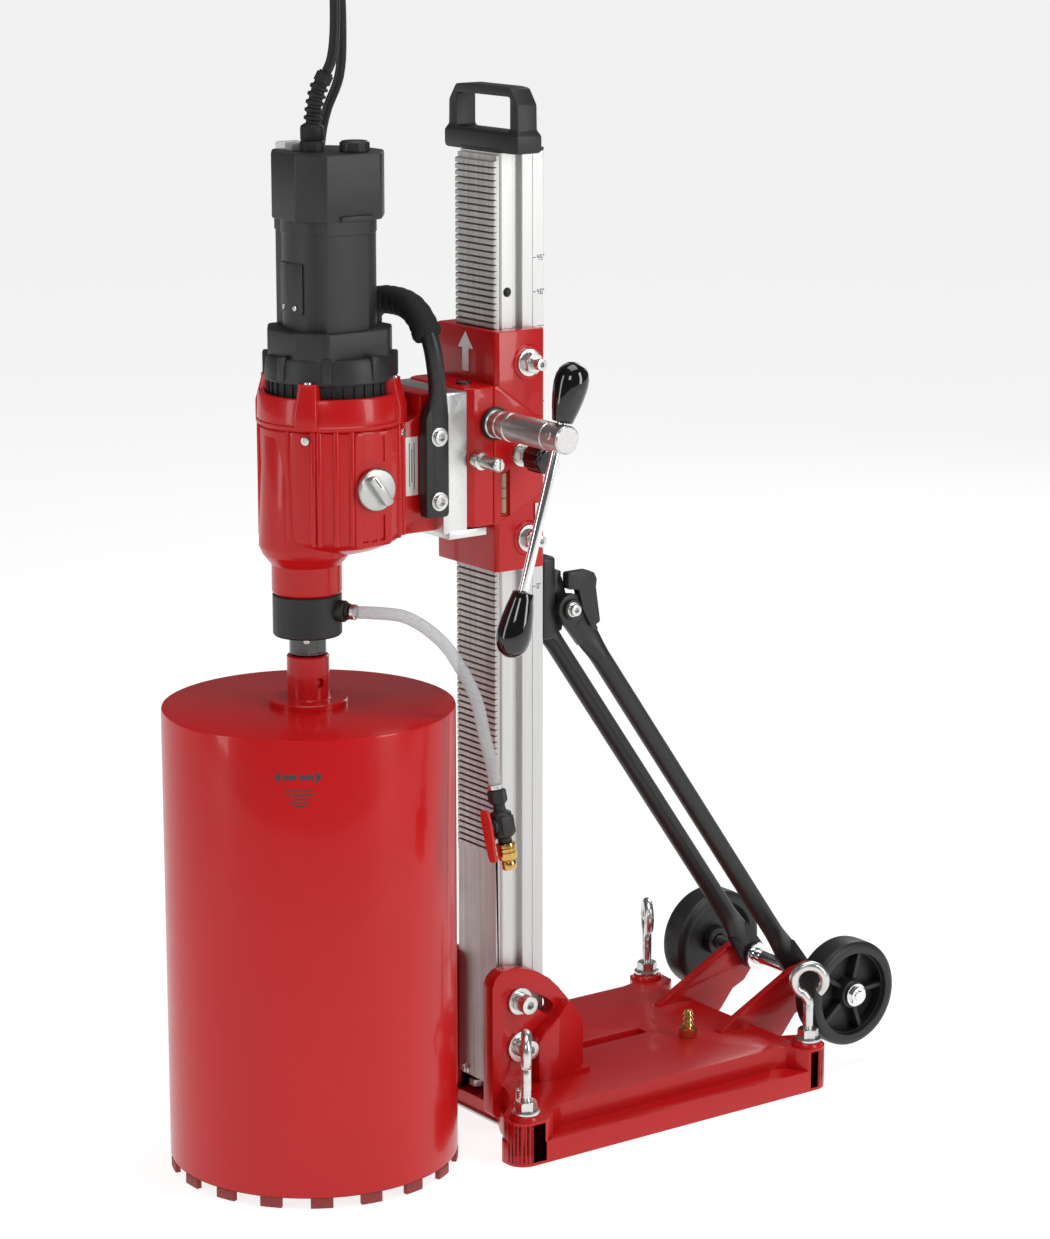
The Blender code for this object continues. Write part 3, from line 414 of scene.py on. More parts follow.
def prism(outlines, low, high, axis="z", soft=0.0, segments=2, least=25.0):
    """Extrude closed outlines, the first outer and the others holes, and round the edges."""
    if isinstance(outlines[0][0], (int, float)):
        outlines = [outlines]
    low, high = min(low, high), max(low, high)
    if len(outlines) == 1:
        bm = bmesh.new()
        half = (high - low) / 2.0
        bottom = [bm.verts.new((a, b, -half)) for a, b in outlines[0]]
        top = [bm.verts.new((a, b, half)) for a, b in outlines[0]]
        bm.faces.new(list(reversed(bottom)))
        bm.faces.new(top)
        count = len(bottom)
        for i in range(count):
            j = (i + 1) % count
            bm.faces.new((bottom[i], bottom[j], top[j], top[i]))
    else:
        curve = bpy.data.curves.new("outline", "CURVE")
        curve.dimensions = "2D"
        curve.fill_mode = "BOTH"
        curve.extrude = (high - low) / 2.0
        for outline in outlines:
            spline = curve.splines.new("POLY")
            spline.points.add(len(outline) - 1)
            for point, (a, b) in zip(spline.points, outline):
                point.co = (a, b, 0.0, 1.0)
            spline.use_cyclic_u = True
        ob = bpy.data.objects.new("outline", curve)
        scene.collection.objects.link(ob)
        mesh = bpy.data.meshes.new_from_object(ob.evaluated_get(bpy.context.evaluated_depsgraph_get()))
        bpy.data.objects.remove(ob, do_unlink=True)
        bm = bmesh.new()
        bm.from_mesh(mesh)
        bpy.data.meshes.remove(mesh)
        bmesh.ops.remove_doubles(bm, verts=bm.verts, dist=1e-3)
    bmesh.ops.recalc_face_normals(bm, faces=bm.faces)
    if soft:
        round_edges(bm, soft, segments, least)
    bmesh.ops.transform(bm, matrix=axis_matrix(axis, (low + high) / 2.0), verts=bm.verts)
    bmesh.ops.recalc_face_normals(bm, faces=bm.faces)
    return bm


def block(x0, x1, y0, y1, z0, z1, soft=0.0, segments=2):
    return prism([(x0, y0), (x1, y0), (x1, y1), (x0, y1)], z0, z1, "z", soft, segments)


def lathe(profile, steps=48, centre=(0.0, 0.0, 0.0), direction=(0.0, 0.0, 1.0), closed=False, soft=0.0):
    """Turn a profile of (radius, height) points about an axis, its corners rounded."""
    if soft:
        profile = fillet(profile, soft, 2, closed=closed)
    bm = bmesh.new()
    verts = [bm.verts.new((r, 0.0, h)) for r, h in profile]
    edges = [bm.edges.new(pair) for pair in zip(verts, verts[1:])]
    if closed:
        edges.append(bm.edges.new((verts[-1], verts[0])))
    bmesh.ops.spin(bm, geom=verts + edges, cent=(0, 0, 0), axis=(0, 0, 1),
                   angle=math.tau, steps=steps, use_merge=True)
    bmesh.ops.remove_doubles(bm, verts=bm.verts, dist=1e-3)
    turn = Vector((0, 0, 1)).rotation_difference(Vector(direction)).to_matrix().to_4x4()
    bmesh.ops.transform(bm, matrix=Matrix.Translation(centre) @ turn, verts=bm.verts)
    bmesh.ops.recalc_face_normals(bm, faces=bm.faces)
    return bm


def sweep(points, radius, sides=16, flat=None, uv_size=None):
    """Bar along points. radius is a number or a function of 0..1; flat(t) gives the two half sizes."""
    pts = [Vector(p) for p in points]
    lengths = [0.0]
    for a, b in zip(pts, pts[1:]):
        lengths.append(lengths[-1] + (b - a).length)
    total = lengths[-1]
    bm = bmesh.new()
    uv = bm.loops.layers.uv.new("uv") if uv_size else None
    rings, side = [], None
    for i, p in enumerate(pts):
        ahead = (pts[min(i + 1, len(pts) - 1)] - pts[max(i - 1, 0)]).normalized()
        if side is None:
            guess = Vector((1, 0, 0)) if abs(ahead.x) < 0.9 else Vector((0, 0, 1))
            side = (guess - ahead * guess.dot(ahead)).normalized()
        side = (side - ahead * side.dot(ahead)).normalized()
        up = ahead.cross(side)
        t = lengths[i] / total
        wide, deep = flat(t) if flat else (radius(t) if callable(radius) else radius,) * 2
        rings.append([bm.verts.new(p + side * wide * math.cos(math.tau * k / sides)
                                   + up * deep * math.sin(math.tau * k / sides)) for k in range(sides)])
    for i, (low, high) in enumerate(zip(rings, rings[1:])):
        for k in range(sides):
            j = (k + 1) % sides
            face = bm.faces.new((low[k], low[j], high[j], high[k]))
            if uv:
                corners = ((k, i), (k + 1, i), (k + 1, i + 1), (k, i + 1))
                for loop, (u, v) in zip(face.loops, corners):
                    loop[uv].uv = (u / sides * uv_size, lengths[v] / 5.5)
    bm.faces.new(list(reversed(rings[0])))
    bm.faces.new(rings[-1])
    bmesh.ops.recalc_face_normals(bm, faces=bm.faces)
    return bm


def loft(rings):
    """Skin between rings of points of the same count, with both ends closed."""
    bm = bmesh.new()
    made = [[bm.verts.new(p) for p in one] for one in rings]
    count = len(made[0])
    for low, high in zip(made, made[1:]):
        for k in range(count):
            j = (k + 1) % count
            bm.faces.new((low[k], low[j], high[j], high[k]))
    bm.faces.new(list(reversed(made[0])))
    bm.faces.new(made[-1])
    bmesh.ops.recalc_face_normals(bm, faces=bm.faces)
    return bm


def moved(bm, matrix):
    bmesh.ops.transform(bm, matrix=matrix, verts=bm.verts)
    return bm


def turned(bm, axis, degrees, about=(0.0, 0.0, 0.0)):
    spot = Matrix.Translation(about)
    return moved(bm, spot @ Matrix.Rotation(math.radians(degrees), 4, axis) @ spot.inverted())


def mirror_x(bm):
    bmesh.ops.scale(bm, vec=(-1.0, 1.0, 1.0), verts=bm.verts)
    bmesh.ops.recalc_face_normals(bm, faces=bm.faces)
    return bm


def gathered(*shells):
    """Several shells in one mesh, their walls left as they are."""
    bm = bmesh.new()
    for shell in shells:
        mesh = bpy.data.meshes.new("shell")
        shell.to_mesh(mesh)
        shell.free()
        bm.from_mesh(mesh)
        bpy.data.meshes.remove(mesh)
    return bm


def scratch(bm):
    mesh = bpy.data.meshes.new("scratch")
    bm.to_mesh(mesh)
    bm.free()
    ob = bpy.data.objects.new("scratch", mesh)
    scene.collection.objects.link(ob)
    return ob


def boolean(bm, others, operation):
    """Cut from a solid, or join to it, one exact Boolean after another."""
    target = scratch(bm)
    for other in others:
        tool = scratch(other)
        mod = target.modifiers.new("step", "BOOLEAN")
        mod.operation = operation
        mod.solver = "EXACT"
        mod.object = tool
        mesh = bpy.data.meshes.new_from_object(target.evaluated_get(bpy.context.evaluated_depsgraph_get()))
        target.modifiers.clear()
        target.data = mesh
        bpy.data.objects.remove(tool, do_unlink=True)
    out = bmesh.new()
    out.from_mesh(target.data)
    bpy.data.objects.remove(target, do_unlink=True)
    bmesh.ops.remove_doubles(out, verts=out.verts, dist=1e-3)
    return out


def cut(bm, *others):
    return boolean(bm, others, "DIFFERENCE")


FINISHES = {}


def piece(name, bm, body, finish, replaces=(), sharp=32.0):
    """Put a shape in the scene as one piece that rides on a body."""
    bmesh.ops.scale(bm, verts=bm.verts, vec=(MM, MM, MM))
    mesh = bpy.data.meshes.new(name)
    bm.to_mesh(mesh)
    bm.free()
    mesh.shade_smooth()
    mesh.set_sharp_from_angle(angle=math.radians(sharp))
    mesh.materials.append(FINISHES[finish])
    ob = bpy.data.objects.new(name, mesh)
    scene.collection.objects.link(ob)
    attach(ob, body)
    if replaces:
        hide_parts(*replaces)
    return ob


# ---------------------------------------------------------------- fasteners
def washer(centre, direction, hole, radius, low, high, steps=36):
    return lathe([(hole, high), (radius, high), (radius, low), (hole, low)], steps, centre, direction,
                 closed=True, soft=0.5)


def hexagon(centre, direction, across, low, high, spin=0.0):
    """Hexagon nut or head with chamfered corners."""
    corner = across / 2.0 / math.cos(math.pi / 6)
    body = prism(ring(0, 0, corner, 6, spin), low, high)
    trim = lathe([(0, high), (corner * 0.90, high), (corner * 1.02, high - corner * 0.14),
                  (corner * 1.02, low + corner * 0.10), (corner * 0.94, low), (0, low)], 36)
    body = boolean(body, [trim], "INTERSECT")
    turn = Vector((0, 0, 1)).rotation_difference(Vector(direction)).to_matrix().to_4x4()
    return moved(body, Matrix.Translation(centre) @ turn)


def socket_head(centre, direction, radius, low, high, key, deep, steps=32):
    """Round screw head with a hexagon socket in its end."""
    body = lathe([(0, high), (radius, high), (radius, low), (0, low)], steps, soft=0.7)
    body = cut(body, prism(ring(0, 0, key / 2.0 / math.cos(math.pi / 6), 6), high - deep, high + 4))
    turn = Vector((0, 0, 1)).rotation_difference(Vector(direction)).to_matrix().to_4x4()
    return moved(body, Matrix.Translation(centre) @ turn)


def rod(centre, direction, radius, low, high, steps=28, soft=0.5):
    return lathe([(0, high), (radius, high), (radius, low), (0, low)], steps, centre, direction, soft=soft)


def thread(centre, direction, radius, low, high, pitch=1.5, steps=20):
    """Threaded shank drawn as a row of fine crests."""
    profile = [(0, high)]
    count = int((high - low) / pitch)
    for k in range(count):
        h = high - k * pitch
        profile += [(radius - 0.55, h), (radius, h - pitch / 2)]
    profile += [(radius - 0.55, high - count * pitch), (0, high - count * pitch)]
    return lathe(profile, steps, centre, direction)


def mirrored(points):
    kept = [(x, y) for x, y in points if abs(x) > 1e-6]
    return kept + [(-x, y) for x, y in reversed(kept)]


# ---------------------------------------------------------------- driving dimensions (mm)
PIVOT = (0.0, -12.0, 74.0)
LOCK = (0.0, -13.5, 116.5)
AXLE = (0.0, 322.0, 74.0)
JOINT = (0.0, 50.0, 462.5)
MOTOR = (0.0, -175.0, 0.0)
BIT = (0.0, -201.0, 0.0)
PINION = (0.0, -39.2, 637.75)
BOLTS = (("front_right", 1, -60.0, -36), ("front_left", -1, -60.0, 54),
         ("rear_right", 1, 260.0, 54), ("rear_left", -1, 260.0, -30))
COLUMN_LOW, COLUMN_HIGH = 30.0, 864.0
GROOVE_Y = -3.7
GEAR_R = 61.5

# ---------------------------------------------------------------- cord and hose routes (mm)
AWAY = Vector((-0.8416, 0.5402, 0.0))
SIDEWAYS = Vector((0.5402, 0.8416, 0.0))
GLAND = Vector((0.0, -190.0, 0.0))
CORD_R = 4.25
COIL_R = 47.0
COIL_AT = GLAND + AWAY * 400 + SIDEWAYS * COIL_R
BOOT_RUN = [(0, 886), (0.6, 896), (1.6, 906), (3.4, 916), (6.2, 925), (9.6, 932), (12.3, 937.5)]
CORD_RUN = [(0, 12.5, 937.9), (0, 15.8, 945), (0, 18, 955), (1, 19.3, 968), (3, 19.8, 983), (8, 19.8, 1003),
            (18, 19.8, 1022), (33, 20, 1037), (52, 20.5, 1044), (71, 21.5, 1038), (86, 23, 1024),
            (96, 25, 1005), (102, 26, 980), (106, 26, 957), (108, 25.5, 941), (109, 23.5, 926),
            (110, 19.5, 914), (111, 13.5, 900), (112, 9, 883), (113, 6.5, 865), (114, 3, 838),
            (115, 0, 800), (117, 0, 765), (120, 0, 730), (124, 0, 695), (129, 0, 660), (135, 0, 620),
            (142, 0, 580), (150, 0, 540), (159, 0, 500), (168, 0, 460), (178, 0, 420), (188, 0, 380),
            (198, 0, 340), (208, 0, 300), (218, 0, 260), (228, 0, 220), (238, 0, 180), (248, 0, 140),
            (258, 0, 104), (269, 0, 72), (282, 0, 43), (297, 0, 22), (315, 0, 9), (336, 0, 4.7),
            (362, 0, 4.7)]
COIL_PLACES = [(0.0, -8.5), (7.4, -4.25), (-7.4, -4.25), (0.0, 0.0), (-7.4, 4.25), (7.4, 4.25), (0.0, 8.4)]
PLUG_AT = GLAND + AWAY * 356.5 + SIDEWAYS * (2 * COIL_R) + Vector((0, 0, 19.0))

BARB = Vector((0.85, 0.527, 0.0)).normalized()
HOSE_FROM = Vector((0.0, BIT[1], 490.0)) + BARB * 41.0
HOSE_RUN = [(0.0, 0.0), (32.4, 1.1), (49.6, -0.3), (68.0, -8.1), (86.3, -22.0), (98.7, -38.3),
            (106.3, -50.7), (114.4, -68.9), (121.4, -98.3), (127.3, -119.7), (131.1, -140.4)]
DROP = (BARB * 3.8 + Vector((0, 0, -20.7))).normalized()


def frame_matrix(place, right, ahead, up):
    turn = Matrix((right, ahead, up)).transposed().to_4x4()
    return Matrix.Translation(place) @ turn


def make_cord():
    way = [GLAND + AWAY * s + SIDEWAYS * r + Vector((0, 0, z)) for s, r, z in CORD_RUN]
    way = smooth(way, 2)
    steps = 40
    for k in range(1, int(steps * 6.5)):
        turn = k / steps
        here = COIL_PLACES[int(turn) % 7]
        ahead = COIL_PLACES[min(int(turn) + 1, 6)]
        part = min(1.0, max(0.0, (turn % 1.0 - 0.72) / 0.28))
        part = part * part * (3 - 2 * part)
        out = here[0] + (ahead[0] - here[0]) * part
        up = here[1] + (ahead[1] - here[1]) * part
        angle = math.tau * turn
        reach = COIL_R + out
        way.append(COIL_AT - SIDEWAYS * reach * math.cos(angle) + AWAY * reach * math.sin(angle)
                   + Vector((0, 0, 13.2 + up)))
    for back, z in ((-2, 21.4), (-14, 20.6), (-26, 19.6), (-36, 19.1), (-43.4, 19.0)):
        way.append(GLAND + AWAY * (400 + back) + SIDEWAYS * 2 * COIL_R + Vector((0, 0, z)))
    cord = piece("power_cord", sweep(way, CORD_R, 12), "carriage", "cord_rubber",
                 ("mains_cord", "cord_coil"))

    pins = [rod(PLUG_AT + SIDEWAYS * s, -AWAY, 2.4, 70, 92, 16, 1.0) for s in (-9.5, 9.5)]
    pin_piece = piece("plug_pins", gathered(*pins), "base", "zinc")
    sleeve = [(0, 0.4), (4.5, 0.4)]
    for k in range(6):
        low = 3.0 + k * 4.4
        wide = 5.0 + k * 0.42
        sleeve += [(wide + 0.6, low), (wide + 0.7, low + 2.4), (wide - 0.5, low + 2.9),
                   (wide - 0.4, low + 4.1)]
    sleeve += [(11, 31), (15, 37), (17.6, 44), (18.5, 52), (18.5, 71), (17.6, 73.6), (12.0, 74), (0, 74)]
    plug = piece("plug_body", lathe(sleeve, 40, PLUG_AT, -AWAY), "base", "moulded_black",
                 ("mains_plug",))

    foot = lathe([(0, 895), (8.0, 895), (9.4, 894), (9.9, 892), (9.9, 883), (9.2, 882), (10.2, 881),
                  (10.2, 873.3), (0, 873.3)], 36, GLAND)
    boot_way = smooth([GLAND + SIDEWAYS * r + Vector((0, 0, z)) for r, z in BOOT_RUN], 20)

    def bellows(t):
        if t > 0.82:
            return 5.8 if t > 0.97 else 7.2
        return 6.8 + 1.0 * min(1.0, max(-1.0, 2.2 * math.sin(t * 8.5 * math.tau)))

    gland = piece("strain_relief", gathered(foot, sweep(boot_way, bellows, 28)), "carriage", "soft_rubber",
                  ("cord_gland",), sharp=60.0)


def make_hose():
    way = smooth([HOSE_FROM + BARB * s + Vector((0, 0, z)) for s, z in HOSE_RUN], 6)
    hose = piece("braided_water_hose", sweep(way, 5.4, 24, uv_size=6.0), "carriage", "braided_hose",
                 ("water_hose",))
    end = way[-1]
    crimp = [(0, -4.5), (5.45, -4.5), (6.6, -4.0), (6.6, -0.6), (5.5, -0.2), (0, -0.2)]
    ferrules = [lathe(crimp, 28, HOSE_FROM, -BARB), lathe(crimp, 28, end, DROP)]
    ferrule = piece("hose_ferrules", gathered(*ferrules), "carriage", "zinc")

    facing = Vector((0, -1, 0))
    facing = (facing - DROP * facing.dot(DROP)).normalized()
    width = DROP.cross(facing)
    place = frame_matrix(end, width, facing, DROP)
    shell = lathe([(0, 0.4), (7.0, 0.4), (7.0, 11.6), (5.2, 13), (5.2, 18), (7.6, 19.4), (9.3, 21),
                   (9.3, 39.4), (7.5, 41), (6, 42), (6, 46), (0, 46)], 36, soft=0.7)
    nut = hexagon((0, 0, 0), (0, 0, 1), 14.0, 1.0, 11.0)
    bonnet = lathe([(0, 5), (6.2, 5), (6.2, 10.4), (4.2, 11), (4.2, 13.5), (0, 13.5)], 28, (0, 0, 30),
                   (0, 1, 0), soft=0.5)
    flats = block(-9.8, 9.8, -6.5, 6.5, 22.5, 38, 1.2)
    valve = piece("water_valve", moved(gathered(shell, nut, bonnet, flats), place), "carriage",
                  "moulded_black", ("hose_valve",))
    profile = [(0, 46.3), (8.2, 46.3), (8.4, 46.8), (8.4, 49.6), (7.4, 50.2), (8.4, 50.8), (8.4, 53.4),
               (7.4, 54.0), (8.4, 54.6), (8.4, 57.6), (8.0, 60), (6.2, 61), (5.6, 62), (6.2, 63), (6.2, 68),
               (5.6, 69), (3.4, 69), (3.2, 60), (0, 60)]
    coupling = piece("water_coupling", moved(lathe(profile, 40), place), "carriage", "brass",
                     ("hose_coupling",))
    blade = prism(fillet([(-5.0, -15.5), (5.0, -15.5), (6.4, -6), (6.4, 6), (4.6, 29.5), (-4.6, 29.5),
                          (-6.4, 6), (-6.4, -6)], 3.5), 13.9, 16.4, "y", 0.5)
    blade = moved(blade, Matrix.Translation((0, 0, 30)))
    dome = rod((0, 0, 30), (0, 1, 0), 3.4, 13.0, 17.6, 24, 0.6)
    lever = piece("red_valve_lever", moved(gathered(blade, dome), place), "lever", "lever_red",
                  ("valve_lever",))


# ---------------------------------------------------------------- base
def make_base():
    slot = fillet([(-7, 74), (7, 74), (7, 162), (-7, 162)], 4.0, 3)
    half = [(0, -28), (33, -28), (51, -38), (73, -46), (90, -56), (98, -68), (108, -78)]
    half = half + arc(118, -62, 16, -90, 0, 8) + arc(118, 261, 16, 0, 90, 8)
    skirt = prism([fillet(mirrored(half), 9.0, 3), list(reversed(slot))], 0.0, 20.0, "z", 2.6, 3)
    skirt = cut(skirt, block(-108, 108, 9, 248, -5, 8), block(-31, 31, -60, 62.5, 16, 26))
    deck = [(31, 62), (31, -26), (46, -31), (60, -36), (76, -44), (88, -53), (97, -65), (106, -75)]
    deck += arc(118, -62, 16.0, -90, 0, 8) + [(134, -48), (128, -37), (117, -29), (111, -16), (111, 224),
                                              (114, 238), (124, 243), (134, 250)] + arc(118, 261, 16.0, 0,
                                                      90, 8)
    deck = mirrored(deck + [(100, 275), (92, 266), (87, 254)])
    shells = [skirt, prism([fillet(deck, 5.0, 3), list(reversed(slot))], 10.0, 40.0, "z", 3.6, 3, 50.0)]
    for side in (1, -1):
        nose = arc(118, -62, 16.0, -90, 0, 8) + [(134, -48), (128, -38), (112, -38), (106, -52), (106, -75)]
        tail = [(134, 250), *arc(118, 261, 16.0, 0, 90, 8), (106, 277), (106, 256), (112, 248)]
        for corner in (nose, tail):
            shape = corner if side > 0 else [(-x, y) for x, y in reversed(corner)]
            shells.append(prism(shape, 0.2, 39.9, "z", 2.6, 3, 50.0))
        for by in (-60.0, 260.0):
            boss = [(0, 30), (15.0, 30), (14.4, 41), (13.4, 43.4), (12.0, 44.5), (0, 44.5)]
            shells.append(lathe(boss, 40, (side * 119, by, 0), soft=1.2))
        cheek = [(-42, 12), (56, 12), (56, 88), (40, 109), (30, 121), (20, 131), (8, 139), (-6, 144.5),
                 (-20, 147), (-32, 146), (-39, 141), (-42, 133)]
        slot_out = arc(PIVOT[1], PIVOT[2], 48.9, 45, 93, 12)
        slot_in = arc(PIVOT[1], PIVOT[2], 36.1, 93, 45, 12)
        ends = [(PIVOT[1] + 42.5 * math.cos(math.radians(a)), PIVOT[2] + 42.5 * math.sin(math.radians(a)))
                for a in (93, 45)]
        track = (slot_out + arc(*ends[0], 6.4, 93, 273, 8)[1:-1]
                 + slot_in + arc(*ends[1], 6.4, 225, 405, 8)[1:-1])
        outline = [fillet(cheek, 7.0, 3), ring(PIVOT[1], PIVOT[2], 6.3, 24), track]
        shells.append(prism(outline, side * 31.0, side * 45.0, "x", 1.8, 2))
        fin = [(2, 11), (57, 11), (57, 84), (46, 99), (37, 109.5), (6, 87), (-1, 78), (-1, 50)]
        wedge = prism(fillet(fin, 3.0, 2), side * 43.0, side * 58.5, "x", 2.4, 2)
        shells.append(cut(wedge, fin_cut(side)))
        eye = arc(AXLE[1], AXLE[2], 14.5, -40, 110, 12)
        lug = [(214, 12), (277, 13), (290, 24), (304, 41), (318, 47)] + eye + [(300, 85), (226, 48),
                (214, 41)]
        shells.append(prism([lug, ring(AXLE[1], AXLE[2], 7.3, 24)], side * 42.0, side * 50.0, "x", 1.4, 2))
    piece("base_casting", gathered(*shells), "base", "cast_red", ("base_plate",))

    screws = []
    for side in (1, -1):
        spot = (side * 92.0, -44.0, 0.0)
        screws += [washer(spot, (0, 0, 1), 3.0, 7.6, 39.8, 41.6),
                   socket_head(spot, (0, 0, 1), 5.6, 41.4, 54.0, 5.4, 4.0)]
    screws.append(hexagon((-18.0, -14.0, 0.0), (0, 0, 1), 13.0, 19.8, 26.0))
    piece("deck_screws", gathered(*screws), "base", "zinc")
    lip = prism(fillet([(-36, -30.5), (36, -30.5), (36, -22), (-36, -22)], 3.0), 0.3, 3.0, "z", 0.5)
    piece("front_lip", lip, "base", "anodised")

    barbs = [(0, 66), (2.4, 66), (3.2, 65.5), (4.7, 61.2), (3.5, 60.8), (3.6, 60), (5.0, 56.4), (3.7, 56),
             (3.8, 55), (5.2, 51.4), (4.0, 51), (4.0, 48.6), (0, 48.6)]
    at = (38, 185, 0)
    piece("vacuum_barb", gathered(lathe(barbs, 32, at), hexagon(at, (0, 0, 1), 15.0, 40.3, 48.8)), "base",
          "brass", ("vacuum_nipple",))


def fin_cut(side):
    """Wedge that slopes the outer face of a side fin from its front rib back to the cheek."""
    tool = prism([(60, 0), (16, 0), (60, -14.5)], 44, 120, "z")
    tool = moved(tool, Matrix(((0, 1, 0, 60), (1, 0, 0, 0), (0, 0, 1, 0), (0, 0, 0, 1))))
    bmesh.ops.recalc_face_normals(tool, faces=tool.faces)
    return mirror_x(tool) if side < 0 else tool


def make_base_fasteners():
    for tag, side in (("right", 1), ("left", -1)):
        out = (side, 0, 0)
        stack = [washer(PIVOT, out, 6.0, 14.4, 45.3, 48.4), socket_head(PIVOT, out, 9.0, 48.4, 61.4, 8.0,
                4.0)]
        piece("pivot_nut_" + tag, gathered(*stack), "base", "zinc", ("pivot_bolt_" + tag,))
        stack = [washer(LOCK, out, 6.0, 12.4, 45.3, 48.2), socket_head(LOCK, out, 8.2, 48.2, 62.8, 7.0,
                4.0)]
        piece("tilt_lock_nut_" + tag, gathered(*stack), "column", "zinc",
              ("tilt_lock_bolt_" + tag,))
    inner = []
    for side in (1, -1):
        out = (side, 0, 0)
        inner += [washer(AXLE, out, 7.0, 13.4, 25.6, 28.8), washer(AXLE, out, 6.0, 11.0, 113.7, 115.8),
                  hexagon(AXLE, out, 16.0, 115.6, 119.6, 0.2), rod(AXLE, out, 5.0, 110, 121, 24, 0.8)]
    piece("axle_bar", gathered(rod(AXLE, (1, 0, 0), 7.0, -113.4, 113.4, 32), *inner), "base", "chrome",
          ("axle",))
    for tag, side, by, angle in BOLTS:
        spot = (side * 120.0, by, 0.0)
        loop = [(0.0, 74.0), (0.0, 82.0)]
        loop += [(14.0 * math.cos(math.radians(a)) + 0.5, 101.5 + 14.0 * math.sin(math.radians(a)))
                 for a in range(-112, -112 - 312, -12)]
        a = math.radians(angle)
        way = smooth([(spot[0] + x * math.cos(a), by + x * math.sin(a), z) for x, z in loop], 2)
        eye = gathered(thread(spot, (0, 0, 1), 4.9, 4.0, 58.0, 1.8, 24),
                       rod(spot, (0, 0, 1), 4.65, 56, 80, 24), sweep(way, 4.65, 16),
                       rod(spot, (0, 0, 1), 3.4, 1.2, 5.0, 20, 1.0))
        piece("eye_rod_" + tag, eye, "eye_" + tag, "zinc", ("eye_screw_" + tag,))
        nut = gathered(washer(spot, (0, 0, 1), 5.0, 12.2, 44.8, 47.2),
                       hexagon(spot, (0, 0, 1), 17.0, 47.2, 55.8))
        piece("lock_nut_" + tag, nut, "eye_" + tag, "zinc")


def make_wheels():
    tread = [(39.0, 112.8), (44.5, 113), (47.6, 112), (49.5, 109.6), (50, 106), (50, 91), (49.5, 87.4),
             (47.6, 85), (44.5, 84), (39.0, 84.2), (38.0, 90), (38.0, 107)]
    hub = [(7.4, 112.8), (12.0, 112.8), (13.4, 111.6), (14.6, 99), (13.4, 85), (7.4, 85)]
    web = [(12, 98.5), (39.5, 97.5), (39.5, 93.5), (12, 94.5)]
    for tag, side in (("right", 1), ("left", -1)):
        out = (side, 0, 0)
        spokes = []
        for k in range(5):
            rib = prism([(12.5, -2.2), (39.0, -2.2), (39.0, 2.2), (12.5, 2.2)], 96, 108, "z", 1.0)
            rib = moved(rib, Matrix.Rotation(math.tau * k / 5 + 0.35, 4, "Z"))
            turn = Vector((0, 0, 1)).rotation_difference(Vector(out)).to_matrix().to_4x4()
            spokes.append(moved(rib, Matrix.Translation(AXLE) @ turn))
        lip = lathe([(37.5, 108), (40.5, 108), (40.5, 105), (37.5, 105)], 64, AXLE, out, True, 0.6)
        wheel = gathered(lathe(tread, 72, AXLE, out, True, 1.0), lathe(hub, 40, AXLE, out, True, 0.8),
                         lathe(web, 48, AXLE, out, True), lip, *spokes)
        piece("transport_wheel_" + tag, wheel, "wheel_" + tag[0], "wheel_black",
              ("wheel_" + tag,))


# ---------------------------------------------------------------- struts and their bracket
ALONG = (Vector(JOINT) - Vector(AXLE))
STRUT_LENGTH = ALONG.length
ALONG = ALONG.normalized()
ACROSS = Vector((0, ALONG.z, -ALONG.y))


def on_strut(t, s=0.0, x=0.0):
    p = Vector(AXLE) + ALONG * t + ACROSS * s
    return Vector((x, p.y, p.z))


def strut_section(t):
    """Half width across the row and half depth of the tube, flattened at both ends."""
    mm = t * (STRUT_LENGTH - 30)
    near = min(mm, STRUT_LENGTH - 30 - mm)
    k = min(1.0, max(0.0, (near - 12.0) / 34.0))
    k = k * k * (3 - 2 * k)
    return 3.4 + (9.0 - 3.4) * k, 12.2 + (9.0 - 12.2) * k


